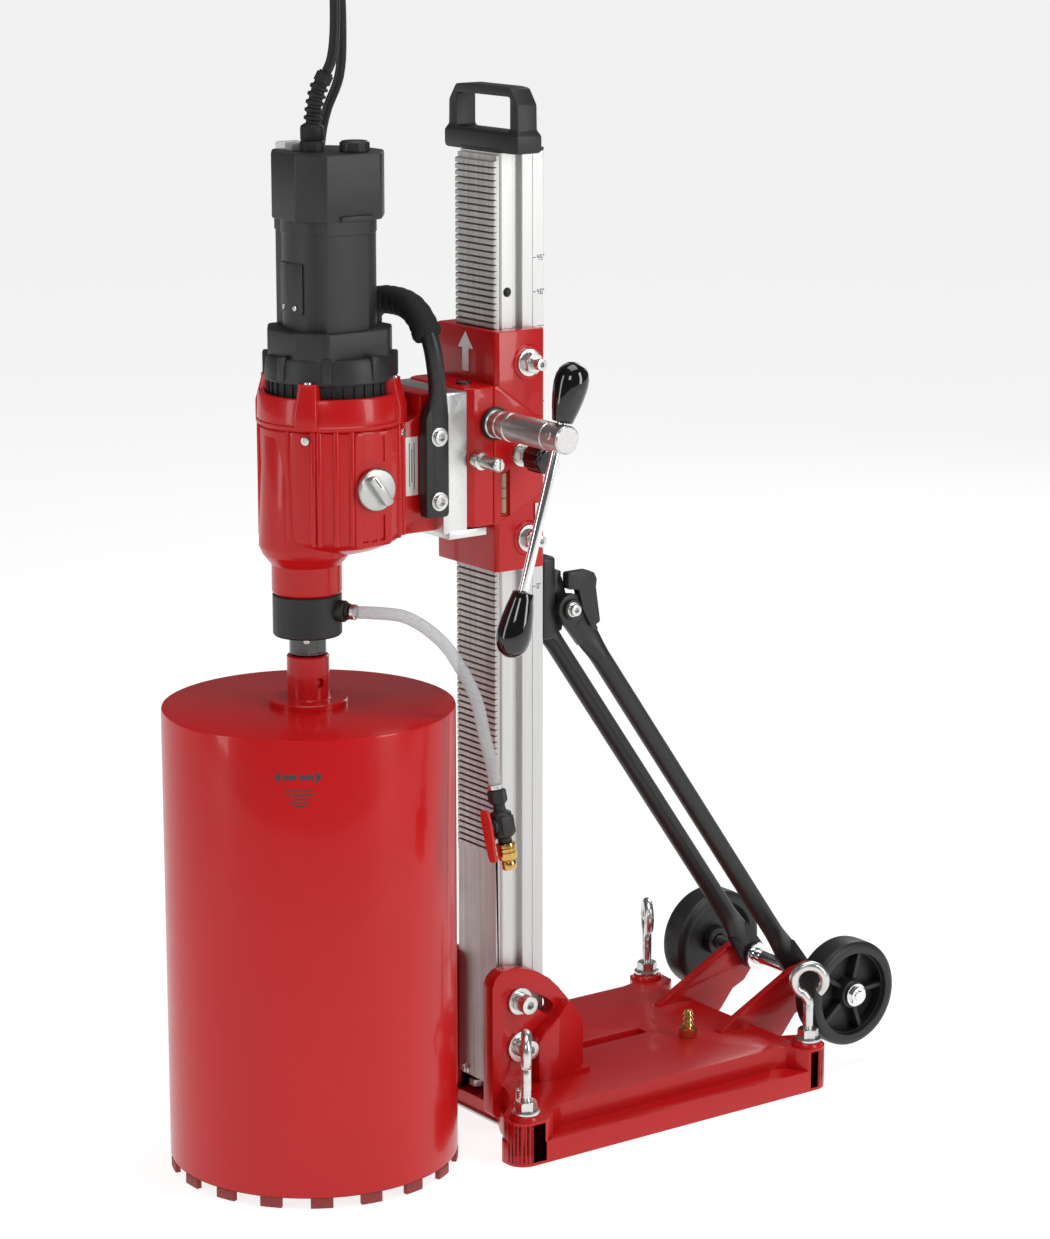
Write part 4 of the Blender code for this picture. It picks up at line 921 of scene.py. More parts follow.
def make_struts():
    tip = arc(0, 0, 13.6, 90, 270, 14)
    low = [tuple(on_strut(t, s).yz) for t, s in [(34, -12.0), (34, 12.0)] + tip]
    high = [tuple(on_strut(STRUT_LENGTH - t, s).yz) for t, s in [(34, -12.0), (34, 12.0)] + tip]
    arm = [(44.3, 481), (44.3, 496), (66, 496), (72.5, 493), (75.5, 487), (74.5, 480), (79.5, 448),
           (70, 444), (60, 462), (56, 480)]
    for tag, side in (("right", 1), ("left", -1)):
        x = side * 34.2
        points = [on_strut(15 + (STRUT_LENGTH - 30) * k / 90, 0, x) for k in range(91)]
        shells = [sweep(points, 9.0, 32, flat=strut_section),
                  prism([low, ring(AXLE[1], AXLE[2], 7.3, 24)], side * 31.0, side * 37.6, "x", 1.6, 2),
                  prism([high, ring(JOINT[1], JOINT[2], 8.6, 24)], side * 30.8, side * 37.0, "x", 1.6, 2),
                  prism([fillet(arm, 2.6), ring(JOINT[1], JOINT[2], 8.7, 24)], side * 31.0, side * 39.8,
                        "x", 0.8)]
        piece("brace_tube_" + tag, gathered(*shells), "struts", "powder_black",
              ("strut_" + tag,))
    plate = prism(fillet([(-30, 436), (30, 436), (30, 510), (-30, 510)], 4.0), -24.8, -37.0, "y", 1.6)
    plate = moved(plate, Matrix.Diagonal((1, -1, 1, 1)))
    bmesh.ops.recalc_face_normals(plate, faces=plate.faces)
    step = block(-30, 30, 36, 43.8, 477, 497, 1.4)
    ear = [(34, 438), (50, 441)] + arc(JOINT[1], JOINT[2], 12.5, -80, 70, 12) + [(50, 489), (34, 491)]
    ears = prism([ear, ring(JOINT[1], JOINT[2], 5.4, 24)], -22.0, 22.0, "x", 1.4)
    key = block(-4.6, 4.6, 19.0, 26.0, 440, 509)
    piece("brace_bracket", gathered(plate, step, ears, key), "bracket", "powder_black",
          ("strut_bracket",))
    out = (1, 0, 0)
    stack = [rod(JOINT, out, 5.0, -41, 41, 24), washer(JOINT, out, 5.0, 6.6, 38.6, 40.2),
             socket_head(JOINT, out, 5.2, 39.6, 44.6, 4.6, 3.0),
             washer(JOINT, (-1, 0, 0), 5.0, 9.0, 39.9, 41.4), hexagon(JOINT, (-1, 0, 0), 13.0, 41.2, 46.0)]
    piece("brace_bolt", gathered(*stack), "bracket", "zinc", ("bracket_bolt",))


# ---------------------------------------------------------------- column, rack, top handle
def make_column():
    g0, g1, gx = GROOVE_Y - 4.75, GROOVE_Y + 4.75, 24.0
    right = [(28.6, -21.5), (30, -20.1), (30, g0 - 0.6), (29.4, g0), (gx, g0), (gx, g1), (29.4, g1),
             (30, g1 + 0.6), (30, 10.6), (29.5, 11.0), (29.5, 12.2), (30, 12.6), (30, 23.3), (28.8, 24.5),
             (8.2, 24.5), (7.0, 23.4), (5.2, 23.4), (5.2, 18.5)]
    hollow = fillet([(-19, -16), (19, -16), (19, 12.5), (-19, 12.5)], 2.0)
    body = prism([mirrored(right), hollow], COLUMN_LOW, COLUMN_HIGH, "z")
    body = cut(body, rod((0, -14.5, 746), (1, 0, 0), 4.2, 10, 40, 24, 0),
               rod(PIVOT, (1, 0, 0), 6.3, -40, 40, 24, 0), rod(LOCK, (1, 0, 0), 6.3, -40, 40, 24, 0))
    piece("column_extrusion", body, "column", "anodised", ("column_profile",), sharp=20.0)

    marks = []
    for degrees in range(0, 50, 5):
        turn = math.radians(degrees)
        b = -668.0 * math.sin(turn)
        c = 71.0 ** 2 + 334.0 ** 2 - 668.0 * 71.0 * math.cos(turn) - (263.0 ** 2 + 384.0 ** 2)
        z = 486.3 - 384.0 + (-b + math.sqrt(b * b - 4 * c)) / 2.0
        marks.append((degrees, z))
    lines = []
    for degrees, z in marks:
        lines.append(block(29.9, 30.12, 12.9, 15.6, z - 0.35, z + 0.35))
        lines.append(digits(str(degrees), 17.0, z - 2.4))
    piece("angle_marks", gathered(*lines), "column", "print_black")

    root, tip, back = -24.4, -28.0, -21.8
    teeth = [(back, COLUMN_HIGH - 2), (back, 34.0), (-26.5, 34.0), (-26.5, 247.4), (root, 248.0)]
    for k in range(111):
        z = 250.0 + k * 5.5
        teeth += [(root, z - 2.5), (tip + 1.2, z - 2.2), (tip + 0.3, z - 2.0), (tip, z - 1.6),
                  (tip, z + 1.6), (tip + 0.3, z + 2.0), (tip + 1.2, z + 2.2), (root, z + 2.5)]
    teeth.append((root, COLUMN_HIGH - 2))
    shallow = [(max(y, tip + 1.3), z) for y, z in teeth]
    rings = [[(x, y, z) for y, z in shape] for x, shape in
             ((-28.5, shallow), (-27.3, teeth), (27.3, teeth), (28.5, shallow))]
    piece("feed_rack", loft(rings), "column", "rack_steel", ("rack",), sharp=24.0)

    screw = (-18.0, 0.0, 39.0)
    low_screw = gathered(washer(screw, (0, -1, 0), 2.0, 5.6, 26.4, 27.4, 24),
                         socket_head(screw, (0, -1, 0), 4.2, 27.2, 29.8, 4.0, 1.8, 24))
    piece("rack_screw", low_screw, "column", "zinc")

    loop = mirrored([(53.5, 864.3), (53.5, 879), (50.5, 884), (50, 905), (40, 918.4), (30, 919.5)])
    window = [(-39, 882), (39, 882), (39, 911.5), (-39, 911.5)]
    shape = prism([fillet(loop, 5.0, 3), list(reversed(fillet(window, 3.0, 3)))], -20.5, 4.5, "y", 2.0, 3)
    taper(shape, 879.0, 884.0, -8.2, 0.8)
    plate = block(-30, 30, -21, 24.5, 864.3, 867.5, 1.0)
    foot = block(-53.2, 53.2, -20.7, 4.7, 864.4, 879.5, 2.4, 3)
    bumps = [rod((s * 12.0, -8.5, 0), (0, 0, 1), 2.2, 916.5, 919.6, 20, 0.9) for s in (-1, 1)]
    piece("lifting_handle", gathered(shape, plate, foot, *bumps), "column", "moulded_black",
          ("top_handle",))


def taper(bm, z0, z1, mid, factor):
    """Make a shape thinner towards the top, about a middle plane across Y."""
    for v in bm.verts:
        t = min(1.0, max(0.0, (v.co.z - z0) / (z1 - z0)))
        v.co.y = mid + (v.co.y - mid) * (1.0 + (factor - 1.0) * t)


SEGMENT_LINES = {"0": "abcdef", "1": "bc", "2": "abged", "3": "abgcd", "4": "fgbc", "5": "afgcd",
                 "6": "afgcde", "7": "abc", "8": "abcdefg", "9": "abcdfg"}


def digits(text, y0, z0, high=4.6, wide=2.4, line=0.55, x=29.9):
    """Plain numerals of straight strokes on the right face of the column."""
    half = high / 2.0
    strokes = {"a": (0, wide, high - line, high), "b": (wide - line, wide, half, high),
               "c": (wide - line, wide, 0, half), "d": (0, wide, 0, line), "e": (0, line, 0, half),
               "f": (0, line, half, high), "g": (0, wide, half - line / 2, half + line / 2)}
    shells = []
    for i, letter in enumerate(text):
        start = y0 + i * (wide + 0.9)
        for key in SEGMENT_LINES[letter]:
            a, b, c, d = strokes[key]
            shells.append(block(x, x + 0.22, start + a, start + b, z0 + c, z0 + d))
    end = y0 + len(text) * (wide + 0.9) + 0.5
    shells.append(block(x, x + 0.22, end - 0.5, end + 0.5, z0 + high - 1.0, z0 + high))
    return gathered(*shells)


# ---------------------------------------------------------------- carriage
def make_carriage():
    half = [(30.8, -29.2), (30.8, 14), (43.4, 14), (45, 12.4), (45, -34), (42, -37)]
    wrap = [(-x, y) for x, y in half] + [(x, y) for x, y in reversed(half)]
    shell = prism(fillet(wrap, 1.6, 2), 507.0, 715.0, "z", 1.4, 2)
    front = fillet([(-45, -34), (45, -34), (45, -60), (41, -67), (36, -69), (-36, -69), (-41, -67),
                    (-45, -60)], 3.0, 4)
    front_box = prism(front, 549.4, 669.6, "z", 2.0, 3, 50.0)
    shells = [shell, front_box]
    for side in (1, -1):
        shoulder = [(-40, 549.6), (-36, 549.6), (12, 574.5), (12, 640), (6, 640), (-34, 669.4),
                    (-40, 669.4)]
        shells.append(prism(fillet(shoulder, 2.0, 2), side * 43.0, side * 46.2, "x", 0.9, 2))
        for z in (534.0, 687.0):
            shells.append(lathe([(0, 46.4), (14.5, 46.4), (16, 44.5), (16, 42), (0, 42)], 40,
                                (0, GROOVE_Y, z), (side, 0, 0), soft=0.6))
    body = boolean(shells[0], [shells[1]], "UNION")
    tools = [block(-17.3, 17.3, -56, -20, 621.2, 654.3), rod(PINION, (1, 0, 0), 12.9, 0, 60, 40, 0),
             rod(PINION, (-1, 0, 0), 8.3, 0, 42, 32, 0), block(39.8, 60, -33, -23.4, 556, 596)]
    body = cut(body, *tools)
    piece("carriage_body", gathered(body, *[cut(s, rod(PINION, (1, 0, 0), 12.9, 0, 60, 40, 0),
                                                block(39.8, 60, -33, -23.4, 556,
                                                      596)) for s in shells[2:4]], *shells[4:]), "carriage",
                                                      "red_enamel", ("carriage_housing",))

    for tag, side in (("right", 1), ("left", -1)):
        for level, z in (("upper", 687.0), ("lower", 534.0)):
            at, out = (0, GROOVE_Y, z), (side, 0, 0)
            stack = [washer(at, out, 5.0, 11.8, 46.2, 48.0), hexagon(at, out, 16.0, 48.0, 55.6, 0.2),
                     socket_head(at, out, 5.0, 55.0, 65.8, 4.6, 3.0)]
            piece("shoe_bolt_" + level + "_" + tag, gathered(*stack), "carriage", "zinc",
                  ("guide_bolt_" + level + "_" + tag,))
    frame_ring = cut(block(42.0, 44.6, -33, -23.4, 556, 596, 0.3), block(41, 47, -31.6, -24.8, 558, 594))
    tube = lathe([(0, 17.6), (3.0, 17.6), (3.6, 17.0), (3.6, -17.0), (3.0, -17.6), (0, -17.6)], 28,
                 (41.6, -28.2, 576))
    bubble_lines = [lathe([(3.6, d + 0.4), (3.75, d + 0.4), (3.75, d - 0.4), (3.6, d - 0.4)], 28,
                          (41.6, -28.2, 576), closed=True) for d in (-4.5, 4.5)]
    piece("vial_tube", tube, "carriage", "vial_liquid", ("spirit_vial",))
    piece("vial_frame", gathered(frame_ring), "carriage", "cast_red")
    piece("vial_lines", gathered(*bubble_lines), "carriage", "print_black")
    piece("round_level", gathered(lathe([(0, 671.2), (4.4, 671.2), (4.8, 670.6), (4.8, 668), (0, 668)], 36,
                                        (18, -52, 0), soft=0.5)), "carriage", "vial_liquid")
    piece("round_level_rim", lathe([(4.6, 671.8), (6.6, 671.2), (7.0, 668), (4.6, 668)], 36, (18, -52, 0),
                                   closed=True, soft=0.4), "carriage", "moulded_black")
    piece("side_label", block(45.9, 46.4, 3.4, 12.6, 549, 564, 0.1), "carriage", "paper_label")
    arrow = [(0, 711), (11, 697), (4.5, 697), (4.5, 677), (-4.5, 677), (-4.5, 697), (-11, 697)]
    piece("feed_arrow", prism(arrow, -36.9, -37.25, "y"), "carriage", "print_white")

    outline = fillet([(-43.6, 546), (43.6, 546), (43.6, 668), (-43.6, 668)], 2.5)
    plate = prism(outline, -91.0, -66.5, "y", 1.2)
    lip = block(-44, 44, -86, -46, 541.5, 548.7, 1.4)
    piece("adaptor_plate", gathered(plate, lip), "carriage", "anodised_cast",
          ("motor_adaptor",))


def make_knobs():
    at, out = (0, -11, 608), (1, 0, 0)
    grip = lathe([(0, 85.6), (8.6, 85.8), (10.8, 84.4), (11.6, 82), (11.6, 63.6), (10.4, 62), (8, 61),
                  (0, 61)], 40, at, out, soft=0.8)
    ribs = []
    for k in range(12):
        a = math.tau * k / 12
        spot = (0, at[1] + 11.3 * math.cos(a), at[2] + 11.3 * math.sin(a))
        ribs.append(lathe([(0, 82.6), (0.9, 82.2), (1.2, 80.8), (1.2, 64.2), (0.7, 63), (0, 63)], 10, spot,
                          out))
    piece("lock_grip", gathered(grip, *ribs), "feed_lock", "gloss_black",
          ("feed_lock_knob",))
    stack = [washer(at, out, 5.0, 10.4, 46.3, 48.2), hexagon(at, out, 13.0, 48.2, 54.6),
             rod(at, out, 5.2, 54, 62, 24)]
    piece("lock_stud", gathered(*stack), "feed_lock", "zinc")

    at = (0, -58, 608)
    screw = lathe([(0, 80), (4.4, 80), (5.8, 78.4), (5.8, 57), (4.6, 55.6), (4.6, 54.6), (7.6, 54),
                   (7.6, 46.6), (7.0, 45.6), (0, 45.6)], 36, at, out, soft=0.5)
    screw = cut(screw, block(77.0, 84, -58.8, -57.2, 600, 616))
    holes = [rod((68, at[1], at[2]), (0, 0, 1), 2.0, -9, 9, 16, 0)]
    piece("clamp_bolt", cut(screw, *holes), "clamp", "zinc", ("adaptor_clamp_screw",))

    at = (0, -173, 598)
    dial = lathe([(0, 67.6), (16.8, 67.6), (17.8, 66.6), (18, 65), (18, 62.2), (0, 62.2)], 48, at, out,
                 soft=0.4)
    wing = prism(fillet([(-178, 584), (-169.5, 581.8), (-167.6, 611), (-176, 614.2)], 3.0), 66.5, 73.3, "x",
                 1.5)
    wing = turned(wing, "X", 39, (0, -173, 598))
    hub = rod(at, out, 5.0, 52, 64, 24)
    piece("speed_selector", gathered(dial, wing, hub), "selector", "knob_grey",
          ("gear_selector",))
    pip = turned(block(73.2, 73.6, -171.8, -170.8, 601, 611, 0.0), "X", 39, (0, -173, 598))
    piece("selector_mark", pip, "selector", "print_black")


def make_crank():
    at, out = PINION, (1, 0, 0)
    shaft = lathe([(0, 149.8), (10.8, 149.8), (12.2, 148.4), (12.2, 128), (11.6, 127.2), (11.6, 126),
                   (12.2, 125.2), (12.2, 75), (11.4, 74.2), (11.4, 72.6), (12.5, 72), (12.5, 67),
                   (11.3, 66.2), (11.3, 60), (12.0, 59.4), (12.0, 57.4), (11.3, 56.8), (11.3, 50),
                   (12.4, 49), (12.4, 31), (10.4, 31), (10.4, 17.6), (8, 17.6), (8, -40), (0, -40)], 56, at,
                   out)
    flat = socket_head((137.0, PINION[1], PINION[2]), (0, -0.96, 0.28), 4.0, 9.4, 12.6, 3.6, 2.0)
    cog = []
    for k in range(14):
        for part, radius in ((-0.32, 10.2), (-0.20, 12.6), (-0.10, 13.8), (0.10, 13.8), (0.20, 12.6),
                             (0.32, 10.2)):
            a = math.tau * (k + part) / 14
            cog.append((PINION[1] + radius * math.cos(a), PINION[2] + radius * math.sin(a)))
    piece("crank_axle", gathered(shaft, flat, prism(cog, -16, 16, "x")), "crank", "satin_steel",
          ("crank_shaft",))
    black = lathe([(12.7, 49.0), (13.8, 48.8), (14.2, 48.0), (14.2, 45.2), (12.7, 45.0)], 48, at, out, True,
                  0.2)
    piece("crank_collar", black, "carriage", "moulded_black")
    lean = Vector((0, math.sin(math.radians(16)), math.cos(math.radians(16))))
    hub = Vector((137.0, PINION[1], PINION[2]))
    piece("crank_lever", rod(hub, lean, 4.3, -149.5, 23.5, 32, 0.5), "crank", "chrome",
          ("crank_rod",))
    upper = [(0, 13.4), (8.0, 13.4), (9.0, 14.4), (9.8, 18), (11.6, 25), (13.4, 34), (14.4, 42), (14.7, 47),
             (14.2, 52.5), (12.6, 57.4), (9.8, 61.2), (6, 63.6), (2.5, 64.4), (0, 64.5)]
    lower = [(0, 131), (8.0, 131), (9.0, 132), (9.9, 137), (11.8, 145), (13.6, 155), (14.6, 163),
             (14.8, 168), (14.3, 173.5), (12.8, 178.6), (10, 182.9), (6, 185.9), (2.5, 186.9), (0, 187)]
    for tag, profile, way in (("upper", upper, lean), ("lower", lower, -lean)):
        piece("ball_grip_" + tag, lathe(profile, 48, hub, way), "crank", "gloss_black",
              ("crank_knob_" + tag,), sharp=60.0)


# ---------------------------------------------------------------- gearbox and motor
def polar(radius, degrees, centre=MOTOR):
    a = math.radians(degrees)
    return centre[0] + radius * math.cos(a), centre[1] + radius * math.sin(a)


def make_gearbox():
    case = lathe([(0, 647), (60.6, 647), (61.5, 645.6), (61.0, 556), (58.5, 550.5), (53, 546.5), (40, 541),
                  (30, 538), (0, 538)], 96, MOTOR, soft=2.0)
    neck = lathe([(0, 640), (36.0, 640), (40.0, 548), (40.0, 545), (37, 538), (32.4, 532.4), (29.7, 529.0),
                  (29.7, 506), (28.6, 504.3), (0, 504.3)], 72, BIT, soft=1.0)
    ribs = []
    for angle in (-68.6, -47.4, -42.5, -29.1, -16.9, 34.0, 46.0):
        for mirror in (angle, 180.0 - angle):
            x, y = polar(GEAR_R - 0.9, mirror)
            ribs.append(lathe([(0, 648.5), (1.6, 648.2), (2.6, 646.6), (2.6, 554), (1.6, 551.6),
                               (0, 551.2)], 12, (x, y, 0)))
    profile = [(-140, 552), (-93, 569), (-89.3, 571), (-89.3, 668), (-111, 668), (-111, 650), (-122, 646.5),
               (-150, 646.5), (-150, 552)]
    flange = prism(fillet(profile, 2.4, 3), -37.5, 37.5, "x", 2.0, 2, 40.0)
    skirt = block(-34, 34, -128, -89.4, 549, 575, 2.4)
    pad = prism(fillet([(-191, 549.5), (-155, 549.5), (-155, 646), (-191, 646)], 4.0, 3), 48, 60.9, "x",
                2.0, 3)
    grooves = [block(58.8, 63, y - 2.6, y + 2.6, low, high, 0.8) for y in (-181.5, -173, -164.5)
               for low, high in ((620.5, 642), (553.5, 575.5))]
    pad = cut(pad, *grooves)
    hollow_cut = rod(BIT, (0, 0, 1), 17.0, 480, 560, 40, 0)
    piece("gear_case", gathered(case, cut(neck, hollow_cut), flange, skirt, pad, *ribs), "carriage",
          "cast_red", ("gearbox_housing",))
    piece("rating_label", gathered(block(37.3, 37.8, -136, -113, 583, 633, 0.1)), "carriage", "paper_label")
    text = [block(37.7, 37.95, y, y + 0.7, 588 + 3 * (k % 3), 628 - 5 * (k % 2)) for k, y in
            enumerate((-134.0, -131.6, -129.2, -126.8, -122.0, -119.6, -117.2))]
    piece("label_print", gathered(*text), "carriage", "print_black")

    shield = lathe([(46, 647.3), (61.6, 647.3), (63.0, 648.6), (63.0, 651.0), (61.9, 652.2), (61.0, 672.4),
                    (60.0, 674), (55.6, 674), (54.6, 673), (46, 655)], 96, MOTOR, closed=True)
    bosses = []
    screws = []
    for angle in (-52.5, 37.5, 127.5, 217.5):
        low = [(52, -11.5), (64.4, -9.4), (64.4, 9.4), (52, 11.5)]
        high = [(49, -9.2), (59.6, -7.6), (59.6, 7.6), (49, 9.2)]
        rings = []
        for z, shape in ((649.5, low), (664, low), (683, high), (686.6, high)):
            rings.append([(x, y, z) for x, y in fillet(shape, 2.6, 3)])
        boss = moved(loft(rings), Matrix.Translation(MOTOR) @ Matrix.Rotation(math.radians(angle), 4, "Z"))
        bosses.append(boss)
        out = Vector((math.cos(math.radians(angle)), math.sin(math.radians(angle)), 0.0))
        screws.append(socket_head((MOTOR[0], MOTOR[1], 640.5), out, 3.6, 60.6, 64.6, 3.4, 2.0, 24))
        x, y = polar(56.0, angle)
        screws.append(socket_head((x, y, 0), (0, 0, 1), 3.4, 684.0, 688.4, 3.4, 2.2, 24))
    piece("bearing_cover", gathered(shield, *bosses), "carriage", "cast_red",
          ("bearing_shield",))
    piece("cover_screws", gathered(*screws), "carriage", "zinc")
    throat = lathe([(30, 656), (52.4, 656), (52.4, 685), (30, 685)], 72, MOTOR, closed=True)
    blades = []
    for k in range(36):
        blade = block(52.0, 53.6, -0.9, 0.9, 668, 684)
        blades.append(moved(blade, Matrix.Translation(MOTOR) @ Matrix.Rotation(math.tau * k / 36, 4, "Z")))
    piece("air_throat", gathered(throat, *blades), "carriage", "soft_rubber")


def octagon(rounding, grow=0.0):
    pts = [(18, -44), (41, -29), (41, 26), (18, 44), (-18, 44), (-41, 26), (-41, -29), (-18, -44)]
    pts = [(x * (1 + grow / 42.0), MOTOR[1] + y * (1 + grow / 42.0)) for x, y in pts]
    return fillet(pts, rounding, 5)


def barrel_outline(grow=0.0, count=64):
    """Round front and back with a boxed-out flat on each side."""
    radius, flat = 39.2 + grow, 39.2 + grow
    front, back = -28.0 - grow, 14.0 + grow
    a_front = math.degrees(math.asin(front / radius))
    a_back = math.degrees(math.asin(back / radius))
    pts = arc(0, 0, radius, a_back, 180 - a_back, count // 2)
    pts += [(-flat, back), (-flat, front)]
    pts += arc(0, 0, radius, 180 - a_front, 360 + a_front, count // 3)
    pts += [(flat, front), (flat, back)]
    return [(x, MOTOR[1] + y) for x, y in fillet(pts, 1.6, 2)]


def make_motor():
    band = lathe([(30, 685), (55.0, 685), (55.6, 686), (55.2, 690), (54.2, 702.8), (52.6, 705.4), (46, 706),
                  (30, 706)], 96, MOTOR, closed=True)
    bump = []
    for angle in (-80, -36, 10, 54, 100, 144, 190, 234):
        post = block(50, 56.6, -4.2, 4.2, 686.5, 707.5, 1.6)
        bump.append(moved(post, Matrix.Translation(MOTOR) @ Matrix.Rotation(math.radians(angle), 4, "Z")))
    foot = prism(octagon(7, 4.8), 703.0, 727.5, "z", 1.6, 3, 40.0)
    tube = prism(barrel_outline(), 725.0, 823.0, "z")
    seam = prism(barrel_outline(0.7), 806.5, 820.0, "z", 0.5, 1, 60.0)
    brush = []
    for side in (1, -1):
        plate = prism(fillet([(-8.5, 741), (8.5, 741), (8.5, 783), (-8.5, 783)], 1.6), 33, 40.0, "x", 0.5)
        turn = Matrix.Rotation(math.radians(-78.0 if side > 0 else -102.0), 4, "Z")
        brush.append(moved(plate, Matrix.Translation(MOTOR) @ turn))
    piece("motor_barrel", gathered(band, *bump, foot, tube, seam, *brush), "carriage",
          "moulded_black", ("motor_housing",))
    dots = []
    for side in (1, -1):
        angle = math.radians(-78.0 if side > 0 else -102.0)
        out = Vector((math.cos(angle), math.sin(angle), 0))
        dots.append(socket_head((MOTOR[0], MOTOR[1], 746.0), out, 2.2, 39.6, 41.2, 2.0, 1.0, 20))
    piece("barrel_screws", gathered(*dots), "carriage", "zinc")

    cap = prism(octagon(5), 818.0, 873.0, "z", 2.0, 2, 50.0)
    arch = block(41.2, 42.6, -190, -158, 818.2, 822.4, 0.6)
    piece("motor_end_cap", gathered(cap, arch), "carriage", "moulded_black",
          ("motor_cap",))
    lid = block(-33, -8, -206, -184, 872.6, 879.8, 2.0, 3)
    piece("switch_lid", lid, "carriage", "clear_plastic")
    dial = [lathe([(0, 882), (10.4, 882), (11.6, 881), (12.2, 874.4), (12.2, 873.3), (0, 873.3)], 48,
                  (22, -163, 0), soft=0.4)]
    for k in range(18):
        x, y = polar(11.9, 20 * k, (22, -163, 0))
        dial.append(block(-0.6, 0.6, -0.6, 0.6, 873.6, 880.6, 0.2))
        moved(dial[-1], Matrix.Translation((x, y, 0)) @ Matrix.Rotation(math.radians(20 * k), 4, "Z"))
    piece("dial_wheel", gathered(*dial), "dial", "moulded_black", ("speed_dial",))
    pad = block(-27.6, -13.4, -199.6, -188.4, 874.5, 878.6, 1.0)
    piece("rocker_switch", pad, "switch", "gloss_black", ("power_switch",))


def make_carry_handle():
    base = [(49, -100, 575), (49, -100, 615), (49, -100, 650), (50, -101, 672), (51.5, -104, 692),
            (50, -107, 712), (43, -109, 727), (32, -110, 737), (18, -110, 742), (0, -110, 743)]
    way = smooth(base + [(-x, y, z) for x, y, z in reversed(base[:-1])], 8)
    total = sum((b - a).length for a, b in zip(way, way[1:]))

    def section(t):
        near = min(t, 1.0 - t) * total
        k = min(1.0, max(0.0, (near - 70.0) / 35.0))
        k = k * k * (3 - 2 * k)
        return 3.6 + 3.9 * k, 10.6 - 3.1 * k

    shells = [sweep(way, 7.5, 24, flat=section)]
    for side in (1, -1):
        leg = fillet([(-113.5, 564), (-90.5, 564), (-90.5, 650), (-94.5, 664), (-106, 664), (-113.5, 650)],
                     4.0, 3)
        shells.append(prism(leg, side * 41.0, side * 51.6, "x", 2.0, 2))
    piece("carry_bar", gathered(*shells), "carriage", "powder_black", ("handle_bar",))
    screws = []
    for side in (1, -1):
        for z in (633.0, 578.0):
            screws.append(socket_head((0, -100.5, z), (side, 0, 0), 6.2, 51.2, 55.6, 6.4, 3.0))
            screws.append(washer((0, -100.5, z), (side, 0, 0), 3.0, 8.2, 51.3, 52.6))
    piece("carry_bar_screws", gathered(*screws), "carriage", "zinc")
    path = smooth([(47.5, -108.0, 718), (38, -109.5, 732), (26, -110, 740), (13, -110, 743),
                   (0, -110, 743.5), (-13, -110, 743), (-26, -110, 740), (-38, -109.5, 732),
                   (-47.5, -108.0, 718)], 24)

    def ribbed(t):
        edge = min(1.0, min(t, 1.0 - t) / 0.03)
        soft = 0.22 * math.sin(t * 12 * math.tau)
        cuff = 0.9 if min(t, 1.0 - t) < 0.07 else 0.0
        return 10.6 + 1.3 * edge + soft + cuff

    piece("foam_grip", sweep(path, ribbed, 32), "carriage", "foam", ("handle_grip",), sharp=70.0)


